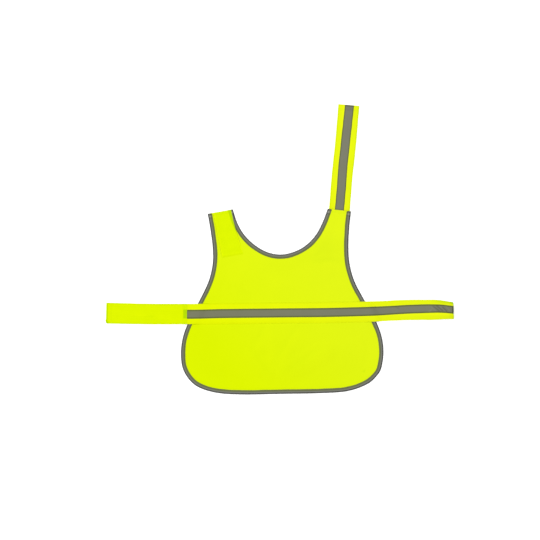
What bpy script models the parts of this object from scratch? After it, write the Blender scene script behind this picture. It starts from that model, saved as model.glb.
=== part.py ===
"""A dog safety vest laid flat: a bib-shaped back panel with bound edges, a belly belt and a neck strap.

The vest lies on z = 0 with its neckline towards +Y and its belt along X. Sizes and tables are in
millimetres and the meshes in metres. Every piece is a sheet of cloth: a surface halfway through
its wall, which a Solidify modifier gives its thickness. Pieces that are sewn together keep a small
gap, and each layer follows the height of what it lies on.
"""

import math

import bmesh
import bpy
import numpy as np
from mathutils import Vector, geometry

MM = 0.001
PROBE = 0.5

# Cloth: the wall of each piece, and the step up to the next layer
WALL = 1.0
GAP = 0.3
LAYER = WALL + GAP

# Straps: belt, neck strap and their hook and loop tape, with the reflective tape on both
TAPE_WIDTH = 40.5
REFLECTIVE_WIDTH = 18.0

# Binding: one strip folded round the raw edge
BINDING_WIDTH = 9.0
FOLD_RADIUS = LAYER
FOLD_TURNS = (-90.0, -30.0, 30.0, 90.0)
RAW_EDGE_INSET = 1.7
BOUND_DEPTH = BINDING_WIDTH + 0.6

# How far cloth takes to settle from a seam to what it lies on
PANEL_SETTLE = 34.0
STRAP_SETTLE = 15.0
HOOK_MARGIN = 1.0
TAIL_MARGIN = 6.0
TAIL_SETTLE = 30.0

# Neckline: the outside of its binding, from the left shoulder to the right
NECKLINE = (
    # x, y
    (-92.9, 80.6),
    (-84.2, 50.6),
    (-69.0, 26.8),
    (-47.2, 6.4),
    (-23.4, -7.4),
    (2.4, -11.2),
    (28.8, -5.8),
    (53.0, 9.0),
    (72.6, 29.6),
    (86.4, 55.0),
    (95.0, 81.2),
)

# Outer edge: the outside of its binding, from the left shoulder round the hem to the right
OUTER_EDGE = (
    # x, y
    (-143.8, 70.7),
    (-138.2, 38.7),
    (-133.3, 2.6),
    (-133.6, -27.6),
    (-141.6, -61.6),
    (-158.0, -97.7),
    (-175.0, -130.7),
    (-191.6, -169.8),
    (-197.2, -205.4),
    (-192.2, -241.6),
    (-169.6, -270.5),
    (-131.8, -286.1),
    (-79.6, -290.0),
    (2.4, -289.0),
    (82.4, -287.5),
    (136.8, -283.2),
    (176.2, -268.4),
    (201.8, -239.8),
    (207.3, -203.4),
    (201.9, -169.6),
    (185.3, -130.1),
    (166.6, -97.6),
    (148.6, -61.7),
    (139.3, -27.6),
    (136.6, 4.8),
    (138.8, 42.6),
    (142.7, 75.6),
)

# Belly belt: its centre line from the left end to the right
BELT = (
    # x, y
    (-347.8, -127.8),
    (-317.6, -128.5),
    (-269.6, -129.4),
    (-189.6, -129.5),
    (-93.6, -128.3),
    (2.4, -127.1),
    (98.4, -126.2),
    (194.4, -124.1),
    (242.4, -121.8),
    (290.4, -121.0),
    (322.4, -121.3),
    (347.8, -122.6),
)
BELT_LOOP_END = -186.8
BELT_TAPE_START = -185.9
BELT_HOOK_START = 238.0

# Curl of the belt's right end: how far each side of it bends down, in degrees
BELT_CURL = (
    # x, upper side, lower side
    (262.0, 0.0, 0.0),
    (290.0, 16.0, 8.0),
    (306.0, 28.0, 15.0),
    (322.0, 47.0, 26.0),
    (338.0, 70.0, 37.0),
    (347.8, 76.0, 41.0),
)
CURL_FLAT = 2.0

# Neck strap: its centre line from the free end to the tail under the right shoulder
STRAP = (
    # x, y
    (138.3, 288.3),
    (131.7, 210.6),
    (124.9, 146.6),
    (119.9, 82.6),
    (112.0, -18.0),
)
STRAP_TAPE_SHIFT = -0.6
STRAP_TAPE_END = 207.6
STRAP_HOOK_LENGTH = 118.0
HOOK_INSET = 1.0

# Shoulder loop patch: its two side edges, from the shoulder down
SHOULDER_PATCH = (
    # left_x, left_y, right_x, right_y
    (-132.4, 72.6, -98.2, 79.2),
    (-128.0, 50.0, -93.2, 56.6),
    (-123.4, 27.0, -86.4, 34.0),
    (-119.0, 5.6, -79.4, 12.4),
    (-114.6, -16.8, -72.6, -9.2),
)

# Largest folds of the panel: soft ridges on the free part below the belt
FOLDS = (
    # start_x, start_y, end_x, end_y, rise, half_width
    (-40.0, -196.0, -52.0, -214.0, 1.6, 26.0),
    (-52.0, -214.0, -18.0, -250.0, 1.6, 26.0),
    (4.0, -254.0, 92.0, -204.0, 1.9, 28.0),
)
FOLD_STARTS_BELOW_BELT = (38.0, 62.0)

# How finely the sheets are divided
PANEL_RINGS = (BOUND_DEPTH, 17.0, 25.0, 34.0)
PANEL_CUT_SHARES = (0.0, 0.33, 0.67, 1.0)
PANEL_STEP = 25.0
PANEL_LEAST_STEP = 7.0
FOLD_STEP = 16.0
FOLD_ACROSS = (-1.0, -0.5, 0.0, 0.5, 1.0)
EDGE_SECTIONS = 98
NECK_SECTIONS = 26
BELT_ACROSS = (-20.25, -15.0, -9.0, -3.0, 3.0, 9.0, 15.0, 20.25)
BELT_CROSSINGS = ((-210.0, -132.0), (136.0, 222.0))
BELT_FINE = 4.5
BELT_COARSE = 45.0
BELT_CURL_STEP = 7.0
STRAP_STEP = 12.0
PATCH_ROWS = 15
PATCH_COLUMNS = 8

# Colours, as linear base colours
YELLOW = (0.74, 0.90, 0.01)
LOOP_YELLOW = (0.72, 0.87, 0.01)
HOOK_YELLOW = (0.66, 0.80, 0.03)
GREY = (0.20, 0.20, 0.19)


def ramp(value, start, end):
    """Runs smoothly from 0 at start to 1 at end."""
    part = min(max((value - start) / (end - start), 0.0), 1.0)
    return part * part * (3.0 - 2.0 * part)


class Path:
    """A smooth line through knots on the plane, measured along its length."""

    def __init__(self, knots, steps=14):
        flat = [Vector((x, y, 0.0)) for x, y in knots]
        ends = [2 * flat[0] - flat[1]] + flat + [2 * flat[-1] - flat[-2]]
        points = [flat[0]]
        for before, here, there, after in zip(ends, ends[1:], ends[2:], ends[3:]):
            reach = (there - here).length
            lead = (there - before) * reach / (3.0 * ((here - before).length + reach))
            trail = (after - here) * reach / (3.0 * ((after - there).length + reach))
            bend = geometry.interpolate_bezier(here, here + lead, there - trail, there, steps + 1)
            points.extend(bend[1:])
        self.points = np.array([(p.x, p.y) for p in points])
        pieces = np.hypot(*np.diff(self.points, axis=0).T)
        self.marks = np.concatenate(([0.0], np.cumsum(pieces)))
        self.length = float(self.marks[-1])

    def at(self, distance):
        """The point at a distance along the line, which goes on straight past its ends."""
        inside = min(max(distance, 0.0), self.length)
        x = float(np.interp(inside, self.marks, self.points[:, 0]))
        y = float(np.interp(inside, self.marks, self.points[:, 1]))
        past = distance - inside
        if past:
            ahead = self.points[1] - self.points[0] if past < 0 else self.points[-1] - self.points[-2]
            ahead = ahead / np.hypot(*ahead)
            x += ahead[0] * past
            y += ahead[1] * past
        return x, y

    def left(self, distance):
        """The unit vector to the left of the line at a distance along it."""
        x0, y0 = self.at(distance - PROBE)
        x1, y1 = self.at(distance + PROBE)
        length = math.hypot(x1 - x0, y1 - y0)
        return (y0 - y1) / length, (x1 - x0) / length

    def offset(self, x, y):
        """How far a point lies to the left of the line."""
        starts = self.points[:-1]
        spans = np.diff(self.points, axis=0)
        away = np.array((x, y)) - starts
        share = np.clip((away * spans).sum(axis=1) / (spans * spans).sum(axis=1), 0.0, 1.0)
        gaps = away - spans * share[:, None]
        nearest = int(np.argmin((gaps * gaps).sum(axis=1)))
        turn = spans[nearest][0] * away[nearest][1] - spans[nearest][1] * away[nearest][0]
        return math.copysign(float(np.hypot(*gaps[nearest])), turn)

    def across_x(self, x):
        """The height of the line at x, for a line that runs along X."""
        return float(np.interp(x, self.points[:, 0], self.points[:, 1]))


NECK_PATH = Path(NECKLINE)
EDGE_PATH = Path(OUTER_EDGE)
BELT_PATH = Path(BELT)
STRAP_PATH = Path(STRAP)


def neck_depth(x, y):
    """How far a point of the panel lies in from the neckline."""
    return -NECK_PATH.offset(x, y)


def edge_depth(x, y):
    """How far a point of the panel lies in from the outer edge."""
    return EDGE_PATH.offset(x, y)


def tail_lift(x, y):
    """The height that the strap's hidden tail adds to the cloth above it."""
    end_x, end_y = STRAP[-1]
    top_x, top_y = STRAP[-2]
    length = math.hypot(top_x - end_x, top_y - end_y)
    along_x, along_y = (top_x - end_x) / length, (top_y - end_y) / length
    along = (x - end_x) * along_x + (y - end_y) * along_y
    across = (x - end_x) * along_y - (y - end_y) * along_x
    beside = max(abs(across) - TAPE_WIDTH / 2 - TAIL_MARGIN, 0.0)
    below = max(-along - TAIL_MARGIN, 0.0)
    return LAYER * (1.0 - ramp(math.hypot(beside, below), 0.0, TAIL_SETTLE))


def fold_lift(x, y):
    """The height of the panel's own soft ridges, which stay clear of the belt and the edges."""
    best = 0.0
    for start_x, start_y, end_x, end_y, rise, half_width in FOLDS:
        span_x, span_y = end_x - start_x, end_y - start_y
        share = ((x - start_x) * span_x + (y - start_y) * span_y) / (span_x ** 2 + span_y ** 2)
        share = min(max(share, 0.0), 1.0)
        away = math.hypot(x - start_x - share * span_x, y - start_y - share * span_y)
        best = max(best, rise * (1.0 - ramp(away, 0.0, half_width)))
    return best * ramp(BELT_PATH.across_x(x) - y, *FOLD_STARTS_BELOW_BELT)


def clear_of_seams(x, y, settle):
    """Runs smoothly from 0 at the bound edges to 1 at a depth of settle."""
    clear_of_neck = ramp(neck_depth(x, y), BOUND_DEPTH, settle)
    return clear_of_neck * ramp(edge_depth(x, y), BOUND_DEPTH, settle)


def panel_under(x, y):
    """The height of the panel's underside: up at the bound edges and down on the floor between."""
    return LAYER * (1.0 - clear_of_seams(x, y, PANEL_SETTLE)) + tail_lift(x, y) + fold_lift(x, y)


def over_vest(x, y):
    """The height of the underside of a strap or patch laid on the panel, its bindings or the floor."""
    depth = min(neck_depth(x, y), edge_depth(x, y))
    if depth < 0.0:
        return 3 * LAYER * (1.0 - ramp(-depth, 0.0, STRAP_SETTLE))
    return panel_under(x, y) + LAYER * (2.0 - clear_of_seams(x, y, BINDING_WIDTH + STRAP_SETTLE))


def belt_drop(x, across):
    """How far the belt's curl lowers and narrows it at a place across it."""
    rows = np.array(BELT_CURL)
    column = 1 if across > 0 else 2
    droop = math.radians(float(np.interp(x, rows[:, 0], rows[:, column])))
    bent = abs(across) - CURL_FLAT
    if droop < 0.01 or bent <= 0.0:
        return 0.0, abs(across)
    radius = (TAPE_WIDTH / 2 - CURL_FLAT) / droop
    return radius * (1.0 - math.cos(bent / radius)), CURL_FLAT + radius * math.sin(bent / radius)


def belt_middle(x, across):
    """A point halfway through the belt's wall."""
    centre = BELT_PATH.across_x(x)
    drop, reach = belt_drop(x, across)
    lowest = max(belt_drop(x, TAPE_WIDTH / 2)[0], belt_drop(x, -TAPE_WIDTH / 2)[0])
    y = centre + math.copysign(reach, across)
    hook = LAYER * ramp(x, BELT_HOOK_START - STRAP_SETTLE, BELT_HOOK_START - HOOK_MARGIN)
    return Vector((x, y, over_vest(x, y) + hook + lowest - drop + WALL / 2))


def belt_layer(x, across, layers):
    """A point of a sheet that lies some layers above the belt, or below it where layers is negative."""
    here = belt_middle(x, across)
    along = belt_middle(x + PROBE, across) - belt_middle(x - PROBE, across)
    beside = belt_middle(x, across + PROBE) - belt_middle(x, across - PROBE)
    return here + along.cross(beside).normalized() * (LAYER * layers)


def strap_middle(distance, across):
    """A point halfway through the neck strap's wall."""
    x, y = STRAP_PATH.at(distance)
    left_x, left_y = STRAP_PATH.left(distance)
    past = distance - STRAP_HOOK_LENGTH
    hook = LAYER * (1.0 - ramp(past, HOOK_MARGIN, STRAP_SETTLE))
    return Vector((x - left_x * across, y - left_y * across, hook + WALL / 2))


def make_material(name, colour, roughness):
    """A plain cloth material."""
    material = bpy.data.materials.new(name)
    material.use_nodes = True
    shader = material.node_tree.nodes["Principled BSDF"]
    shader.inputs["Base Color"].default_value = (*colour, 1.0)
    shader.inputs["Roughness"].default_value = roughness
    return material


def grid_faces(grid):
    """The points of a grid in one list, and its four-sided faces."""
    width = len(grid[0])
    points = [point for row in grid for point in row]
    faces = []
    for row in range(len(grid) - 1):
        for column in range(width - 1):
            corner = row * width + column
            faces.append((corner, corner + 1, corner + width + 1, corner + width))
    return points, faces


def make_cloth(collection, name, surface, colour, roughness):
    """One sheet of cloth from the points, in millimetres, and faces halfway through its wall."""
    mesh = bpy.data.meshes.new(name)
    sheet = bmesh.new()
    corners = [sheet.verts.new(Vector(point) * MM) for point in surface[0]]
    for face in surface[1]:
        sheet.faces.new([corners[number] for number in face])
    sheet.to_mesh(mesh)
    sheet.free()
    piece = bpy.data.objects.new(name, mesh)
    piece.data.materials.append(make_material(name, colour, roughness))
    wall = piece.modifiers.new("Cloth wall", "SOLIDIFY")
    wall.thickness = WALL * MM
    wall.offset = 0.0
    wall.use_even_offset = True
    wall.use_quality_normals = True
    collection.objects.link(piece)
    return piece


def inward(path, other, distance, side):
    """The way into the panel from a bound edge, turned at its ends to follow the shoulder's cut."""
    left_x, left_y = path.left(distance)
    in_x, in_y = left_x * side, left_y * side
    first_half = distance < path.length / 2
    end_x, end_y = path.at(0.0 if first_half else path.length)
    far_x, far_y = other.at(0.0 if first_half else other.length)
    shoulder = math.hypot(far_x - end_x, far_y - end_y)
    share = 1.0 - ramp(min(distance, path.length - distance), 0.0, 2 * BINDING_WIDTH)
    in_x += ((far_x - end_x) / shoulder - in_x) * share
    in_y += ((far_y - end_y) / shoulder - in_y) * share
    return in_x, in_y


def ring(path, other, side, sections, depth, every=1):
    """Points of the panel at one depth in from a bound edge, at the sections of its binding."""
    points = []
    for number in range(0, sections + 1, every):
        distance = path.length * number / sections
        points.append(Vector(path.at(distance)) + Vector(inward(path, other, distance, side)) * depth)
    return points


def fold_points():
    """Points along and across the panel's soft ridges."""
    points = []
    for start_x, start_y, end_x, end_y, _, half_width in FOLDS:
        start, end = Vector((start_x, start_y)), Vector((end_x, end_y))
        span = end - start
        beside = Vector((-span.y, span.x)).normalized() * half_width
        count = max(1, round(span.length / FOLD_STEP))
        for number in range(count + 1):
            points += [start + span * (number / count) + beside * across for across in FOLD_ACROSS]
    return points


def field_points():
    """Evenly staggered points over the free middle of the panel."""
    xs = [x for x, _ in OUTER_EDGE]
    ys = [y for _, y in OUTER_EDGE]
    points = []
    for row in range(int((max(ys) - min(ys)) / PANEL_STEP)):
        y = min(ys) + row * PANEL_STEP
        x = min(xs) + (row % 2) * PANEL_STEP / 2
        while x < max(xs):
            points.append(Vector((x, y)))
            x += PANEL_STEP
    return points


def patch_places():
    """Rows of places on the plane over the shoulder loop patch."""
    table = np.array(SHOULDER_PATCH)
    numbers = np.arange(len(table))
    rows = []
    for down in np.linspace(0.0, len(table) - 1.0, PATCH_ROWS):
        row = [float(np.interp(down, numbers, table[:, column])) for column in range(4)]
        left, right = Vector(row[:2]), Vector(row[2:])
        rows.append([left.lerp(right, share) for share in np.linspace(0.0, 1.0, PATCH_COLUMNS)])
    return rows


def panel_surface():
    """The panel: its raw edge, rings that follow it, its folds and a field of points between."""
    neck = ring(NECK_PATH, EDGE_PATH, -1.0, NECK_SECTIONS, RAW_EDGE_INSET)
    edge = ring(EDGE_PATH, NECK_PATH, 1.0, EDGE_SECTIONS, RAW_EDGE_INSET)
    outline = list(neck)
    for near, far in ((neck[-1], edge[-1]), (edge[0], neck[0])):
        way = (far - near).normalized() * (BOUND_DEPTH - RAW_EDGE_INSET)
        span = far - near - 2 * way
        outline += [near + way + span * share for share in PANEL_CUT_SHARES]
        if far is edge[-1]:
            outline += reversed(edge)
    points = list(outline)
    candidates = []
    for depth in PANEL_RINGS:
        every = 1 if depth == BOUND_DEPTH else 2
        rings = ring(EDGE_PATH, NECK_PATH, 1.0, EDGE_SECTIONS, depth, every)[1:-1]
        rings += ring(NECK_PATH, EDGE_PATH, -1.0, NECK_SECTIONS, depth)[1:-1]
        candidates += [(point, depth - 0.5) for point in rings]
    candidates += [(point, BOUND_DEPTH) for row in patch_places() for point in row]
    candidates += [(point, PANEL_RINGS[-1]) for point in fold_points()]
    candidates += [(point, PANEL_RINGS[-1] + PANEL_STEP / 3) for point in field_points()]
    for point, depth in candidates:
        least = PANEL_LEAST_STEP if depth < PANEL_RINGS[-1] else 2 * PANEL_LEAST_STEP
        clear = min((point - other).length for other in points) > least
        if clear and min(neck_depth(*point), edge_depth(*point)) > depth:
            points.append(point)
    border = list(range(len(outline)))
    flat, _, faces, *_ = geometry.delaunay_2d_cdt(points, [], [border], 1, MM)
    return [(x, y, panel_under(x, y) + WALL / 2) for x, y in flat], faces


def binding_sheet(path, other, sections, side):
    """A folded strip round a raw edge: the lower leg, the fold and the upper leg."""
    profile = [(BINDING_WIDTH, WALL / 2)]
    for turn in FOLD_TURNS:
        angle = math.radians(turn)
        in_from_edge = WALL / 2 + FOLD_RADIUS * (1.0 - math.cos(angle))
        profile.append((in_from_edge, WALL / 2 + FOLD_RADIUS * (1.0 + math.sin(angle))))
    profile.append((BINDING_WIDTH, WALL / 2 + 2 * FOLD_RADIUS))
    grid = []
    for number in range(sections + 1):
        distance = path.length * number / sections
        edge = Vector(path.at(distance))
        way = Vector(inward(path, other, distance, side))
        places = [(edge + way * in_from_edge, height) for in_from_edge, height in profile]
        grid.append([(x, y, height + tail_lift(x, y)) for (x, y), height in places])
    return grid_faces(grid)


def spread(start, end, step):
    """Places from start to end, no more than a step apart."""
    count = max(1, math.ceil((end - start) / step))
    return [start + (end - start) * number / count for number in range(count)]


def belt_places():
    """Places along the belt, closer together where it climbs over the bindings and where it curls."""
    left, right = BELT[0][0], BELT[-1][0]
    (first_in, first_out), (second_in, second_out) = BELT_CROSSINGS
    places = spread(left, first_in, BELT_COARSE)
    places += spread(first_in, first_out, BELT_FINE)
    places += spread(first_out, second_in, BELT_COARSE)
    places += spread(second_in, BELT_HOOK_START, BELT_FINE)
    places += spread(BELT_HOOK_START, right, BELT_CURL_STEP)
    return places + [right]


def between(start, end, places):
    """The places from start to end, with start and end themselves."""
    return [start] + [place for place in places if start + 0.5 < place < end - 0.5] + [end]


def belt_sheet(start, end, across, layers):
    """A sheet that follows the belt from start to end."""
    places = between(start, end, belt_places())
    return grid_faces([[belt_layer(x, place, layers) for place in across] for x in places])


def strap_sheet(start, end, across, layers):
    """A sheet that follows the neck strap from start to end."""
    rise = Vector((0.0, 0.0, LAYER * layers))
    places = between(start, end, spread(0.0, STRAP_PATH.length, STRAP_STEP))
    grid = [[strap_middle(distance, place) + rise for place in across] for distance in places]
    return grid_faces(grid)


def patch_sheet():
    """The loop patch on the left shoulder, which laps over the neck binding."""
    grid = [[(x, y, over_vest(x, y) + WALL / 2) for x, y in row] for row in patch_places()]
    return grid_faces(grid)


def build_panel(collection):
    """The bib-shaped back panel."""
    make_cloth(collection, "back_panel", panel_surface(), YELLOW, 0.75)


def build_bindings(collection):
    """The folded strips round the neckline and round the outer edge."""
    neck = binding_sheet(NECK_PATH, EDGE_PATH, NECK_SECTIONS, -1.0)
    edge = binding_sheet(EDGE_PATH, NECK_PATH, EDGE_SECTIONS, 1.0)
    make_cloth(collection, "neck_binding", neck, GREY, 0.6)
    make_cloth(collection, "edge_binding", edge, GREY, 0.6)


def build_belt(collection):
    """The belly belt with its reflective tape, loop patch and hook patch."""
    left, right = BELT[0][0], BELT[-1][0]
    tape = [place for place in BELT_ACROSS if abs(place) <= REFLECTIVE_WIDTH / 2]
    make_cloth(collection, "belly_belt", belt_sheet(left, right, BELT_ACROSS, 0), YELLOW, 0.7)
    make_cloth(collection, "belt_tape", belt_sheet(BELT_TAPE_START, right, tape, 1), GREY, 0.45)
    loop = belt_sheet(left, BELT_LOOP_END, BELT_ACROSS[::2] + BELT_ACROSS[-1:], 1)
    make_cloth(collection, "belt_loop_patch", loop, LOOP_YELLOW, 0.9)
    hook = belt_sheet(BELT_HOOK_START, right - HOOK_INSET, BELT_ACROSS, -1)
    make_cloth(collection, "belt_hook_patch", hook, HOOK_YELLOW, 0.6)


def build_neck_strap(collection):
    """The neck strap with its reflective tape and hook patch."""
    half = TAPE_WIDTH / 2
    middle = STRAP_TAPE_SHIFT
    tape = (middle - REFLECTIVE_WIDTH / 2, middle, middle + REFLECTIVE_WIDTH / 2)
    full = (-half, -half / 2, 0.0, half / 2, half)
    strap = strap_sheet(0.0, STRAP_PATH.length, full, 0)
    make_cloth(collection, "neck_strap", strap, YELLOW, 0.7)
    reflective = strap_sheet(0.0, STRAP_TAPE_END, tape, 1)
    make_cloth(collection, "strap_tape", reflective, GREY, 0.45)
    hook = strap_sheet(HOOK_INSET, STRAP_HOOK_LENGTH, full, -1)
    make_cloth(collection, "strap_hook_patch", hook, HOOK_YELLOW, 0.6)


def main():
    """Builds the vest in an empty scene."""
    for old in list(bpy.data.objects):
        bpy.data.objects.remove(old, do_unlink=True)
    collection = bpy.data.collections.new("Dog safety vest")
    bpy.context.scene.collection.children.link(collection)
    build_panel(collection)
    build_bindings(collection)
    build_belt(collection)
    build_neck_strap(collection)
    make_cloth(collection, "shoulder_loop_patch", patch_sheet(), LOOP_YELLOW, 0.9)


main()
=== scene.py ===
"""Dresses the dog safety vest, laid flat: cloth, bindings, tapes, stitching, floor, lights and camera.

Sizes are millimetres in the tables and classes, and every mesh is in metres. +X runs along the
belly belt, +Y towards the neck strap's free end, and the vest lies on z = 0.
"""

import logging
import math
from dataclasses import dataclass, field
from enum import Enum
from typing import Callable, Iterator, Sequence

import bmesh
import bpy
import numpy as np
from mathutils import Matrix, Vector, geometry


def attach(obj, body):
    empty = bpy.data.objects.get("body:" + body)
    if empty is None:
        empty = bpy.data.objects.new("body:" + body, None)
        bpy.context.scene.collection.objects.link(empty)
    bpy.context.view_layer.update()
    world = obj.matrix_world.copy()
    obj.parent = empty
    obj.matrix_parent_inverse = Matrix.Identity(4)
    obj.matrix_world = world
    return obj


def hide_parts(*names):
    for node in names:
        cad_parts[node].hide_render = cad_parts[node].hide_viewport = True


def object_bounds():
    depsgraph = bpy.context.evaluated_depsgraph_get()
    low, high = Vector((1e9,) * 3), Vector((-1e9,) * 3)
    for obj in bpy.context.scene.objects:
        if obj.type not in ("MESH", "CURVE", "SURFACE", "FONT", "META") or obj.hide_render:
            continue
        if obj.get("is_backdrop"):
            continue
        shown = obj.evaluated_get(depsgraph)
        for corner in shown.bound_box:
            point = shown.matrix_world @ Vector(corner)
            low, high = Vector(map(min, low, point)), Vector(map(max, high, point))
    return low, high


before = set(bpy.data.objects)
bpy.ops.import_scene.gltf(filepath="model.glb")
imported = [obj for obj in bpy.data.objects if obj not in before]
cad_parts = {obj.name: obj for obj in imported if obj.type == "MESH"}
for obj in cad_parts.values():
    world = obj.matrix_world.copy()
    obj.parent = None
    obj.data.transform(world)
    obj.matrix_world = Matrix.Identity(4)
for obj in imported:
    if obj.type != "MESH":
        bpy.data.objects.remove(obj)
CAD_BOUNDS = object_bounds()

log = logging.getLogger("safety vest")
MM = 0.001
PROBE = 0.5
BATCH = 2000
ROW_WIDTH = 0.9

Array = Places = np.ndarray
Socket, Tree, Node = bpy.types.NodeSocket, bpy.types.NodeTree, bpy.types.Node
Line = Callable[[Array], Array]
Lay = Callable[[Array, Array], Array]

# Neckline: the outside of its binding, from the left shoulder to the right
NECKLINE = (
    # x, y
    (-93.9, 79.7), (-83.9, 50.7), (-69.1, 26.7), (-47.2, 6.5), (-23.3, -6.3), (2.4, -10.6),
    (28.8, -5.1), (53.4, 8.5), (72.9, 29.4), (86.4, 55.0), (96.2, 80.8),
)

# Outer edge: the outside of its binding, from the left shoulder round the hem to the right
OUTER_EDGE = (
    # x, y
    (-143.8, 70.7), (-138.2, 38.7), (-133.7, 2.6), (-133.6, -27.6), (-141.2, -61.8),
    (-157.7, -97.8), (-175.0, -130.7), (-191.6, -169.8), (-197.2, -205.4), (-192.3, -241.6),
    (-169.9, -270.9), (-131.7, -285.7), (-79.6, -290.2), (2.4, -289.0), (82.4, -287.5),
    (136.8, -283.2), (176.4, -268.7), (196.5, -250.1), (203.6, -235.6), (207.5, -203.4),
    (202.4, -169.4), (185.6, -129.9), (166.8, -97.6), (148.6, -61.7), (139.3, -27.6),
    (137.2, 4.8), (138.8, 42.6), (142.4, 75.6),
)

# Belly belt: its centre line from the left end to the right
BELT = (
    # x, y
    (-347.8, -127.8), (-317.6, -128.5), (-269.6, -129.4), (-189.6, -129.5), (-93.6, -128.3),
    (2.4, -127.1), (98.4, -126.2), (194.4, -124.1), (242.4, -121.8), (290.4, -121.0),
    (322.4, -121.3), (347.8, -122.6),
)

# Curl of the belt's right end: how far each side of it bends down, in degrees
BELT_CURL = (
    # x, upper side, lower side
    (262.0, 0.0, 0.0), (290.0, 16.0, 8.0), (306.0, 26.0, 15.0), (322.0, 42.0, 26.0),
    (338.0, 62.0, 37.0), (347.8, 70.0, 41.0),
)

# Neck strap: its centre line from the free end to the tail under the right shoulder
STRAP = (
    # x, y
    (138.3, 288.3), (131.7, 210.6), (124.9, 146.6), (119.9, 82.6), (112.0, -18.0),
)

# Shoulder loop patch: its two side edges, from the shoulder down
SHOULDER_PATCH = (
    # left_x, left_y, right_x, right_y
    (-132.4, 72.3, -97.0, 78.8),
    (-128.0, 50.0, -92.4, 56.6),
    (-123.4, 27.0, -86.4, 34.0),
    (-119.0, 5.6, -79.4, 12.4),
    (-114.6, -16.8, -72.6, -9.8),
)

# Largest folds of the panel, as the solids have them
FOLDS = (
    # start_x, start_y, end_x, end_y, rise, half_width
    (-40.0, -196.0, -52.0, -214.0, 1.6, 26.0),
    (-52.0, -214.0, -18.0, -250.0, 1.6, 26.0),
    (4.0, -254.0, 92.0, -204.0, 1.9, 28.0),
)

# Creases of the panel: soft troughs have a negative rise and ridges a positive one
CREASES = (
    # start_x, start_y, end_x, end_y, rise, half_width
    (-29.0, -148.0, -57.0, -200.0, -0.42, 9.0),
    (-57.0, -200.0, -17.0, -250.0, -0.5, 10.0),
    (39.0, -148.0, -14.0, -226.0, -0.3, 9.0),
    (84.0, -194.0, 5.0, -250.0, -0.55, 12.0),
    (-22.0, -160.0, -14.0, -236.0, 0.35, 14.0),
    (34.0, -170.0, 4.0, -226.0, 0.4, 14.0),
    (100.0, -214.0, 30.0, -258.0, 0.3, 14.0),
    (56.0, -22.0, 84.0, -6.0, -0.4, 6.0),
    (68.0, -24.0, 104.0, -21.0, -0.75, 9.0),
    (104.0, -21.0, 128.0, -27.0, -0.6, 10.0),
    (117.8, 22.0, 117.0, -30.0, -0.25, 3.0),
    (-112.0, -28.0, -74.0, -20.0, -0.3, 8.0),
    (-20.0, -60.0, 46.0, -74.0, 0.3, 18.0),
    (70.0, -70.0, 118.0, -52.0, -0.25, 14.0),
    (-118.0, -66.0, -70.0, -84.0, -0.25, 14.0),
)

# How far the reflective tape lies above the belt's centre line
TAPE_SHIFT = (
    # x, shift
    (-184.0, -152.0, -120.0, -60.0, -20.0, 90.0, 160.0, 232.0, 256.0, 280.0, 292.0, 316.0, 328.0, 340.0, 348.0),
    (-0.6, -0.4, 0.0, 0.0, -0.2, -0.2, 0.3, 0.75, 1.4, 1.9, 2.25, 2.65, 2.4, 1.65, 1.3),
)

# Short slanting creases of the belt's reflective tape
TAPE_CREASES = (
    # start_x, start_across, end_x, end_across, rise, half_width
    (306.9, 4.7, 318.5, -5.1, -0.34, 1.7),
    (313.5, 6.0, 325.5, -4.0, -0.34, 1.6),
    (325.5, 3.0, 333.5, -5.1, -0.4, 1.9),
    (319.5, 5.4, 331.0, -4.4, 0.22, 1.5),
    (303.0, 3.0, 312.0, -5.0, 0.16, 1.5),
    (332.0, 6.0, 339.5, -2.5, 0.2, 1.8),
    (296.0, -8.0, 303.0, -3.0, 0.2, 2.4),
    (228.0, 8.5, 238.0, 3.0, -0.15, 2.6),
)

# How far the strap's reflective tape lies to the right of the strap's middle
STRAP_TAPE_SHIFT = (
    # distance from the free end, shift
    (0.0, 8.0, 20.0, 31.0, 42.0, 55.0, 70.0, 90.0, 118.0, 134.0, 150.0, 166.0, 182.0, 195.0, 206.0),
    (1.1, 1.1, 0.9, 0.4, 0.4, -0.2, -0.45, -0.5, -0.6, -0.1, 0.2, 0.55, 0.1, 0.2, -0.2),
)


class Slot(Enum):
    """The record's material slots."""

    PANEL = "yellow_polyester"
    BINDING = "grey_binding"
    WEBBING = "yellow_webbing"
    REFLECTIVE = "reflective_tape"
    LOOP = "loop_tape"
    HOOK = "hook_tape"


class Surface(Enum):
    """How a cloth's surface is made."""

    KNIT = "fine knit"
    PLAIN = "plain weave"
    RIBBED = "ribbed webbing"
    BEADED = "beaded film"
    LOOPS = "brushed loops"
    HOOKS = "moulded hooks"
    THREAD = "twisted thread"


def ramp(values: Array, start: float, end: float) -> Array:
    """Runs smoothly from 0 at start to 1 at end, whichever of them is larger.

    Args:
        values: Where to read the ramp.
        start: Where it leaves 0.
        end: Where it reaches 1.

    Returns:
        The ramp's value at each of the values.
    """
    part = np.clip((np.asarray(values, dtype=float) - start) / (end - start), 0.0, 1.0)
    return part * part * (3.0 - 2.0 * part)


def wobble(values: Array, wave: float, seed: float) -> Array:
    """An uneven wave from -1 to 1 that never repeats exactly.

    Args:
        values: Distances in millimetres.
        wave: The main wave's length in millimetres.
        seed: A number that shifts the waves.

    Returns:
        The wave's value at each distance.
    """
    turn = 2.0 * math.pi * np.asarray(values, dtype=float) / wave
    parts = ((0.5, 1.0, 1.0), (0.3, 0.61, 2.3), (0.2, 1.73, 4.1))
    return sum(share * np.sin(pace * turn + lead * seed) for share, pace, lead in parts)


def bump(values: Array, middle: float, width: float) -> Array:
    """A soft bump that is 1 at its middle and nearly 0 two widths away."""
    return np.exp(-(((values - middle) / width) ** 2))


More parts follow.
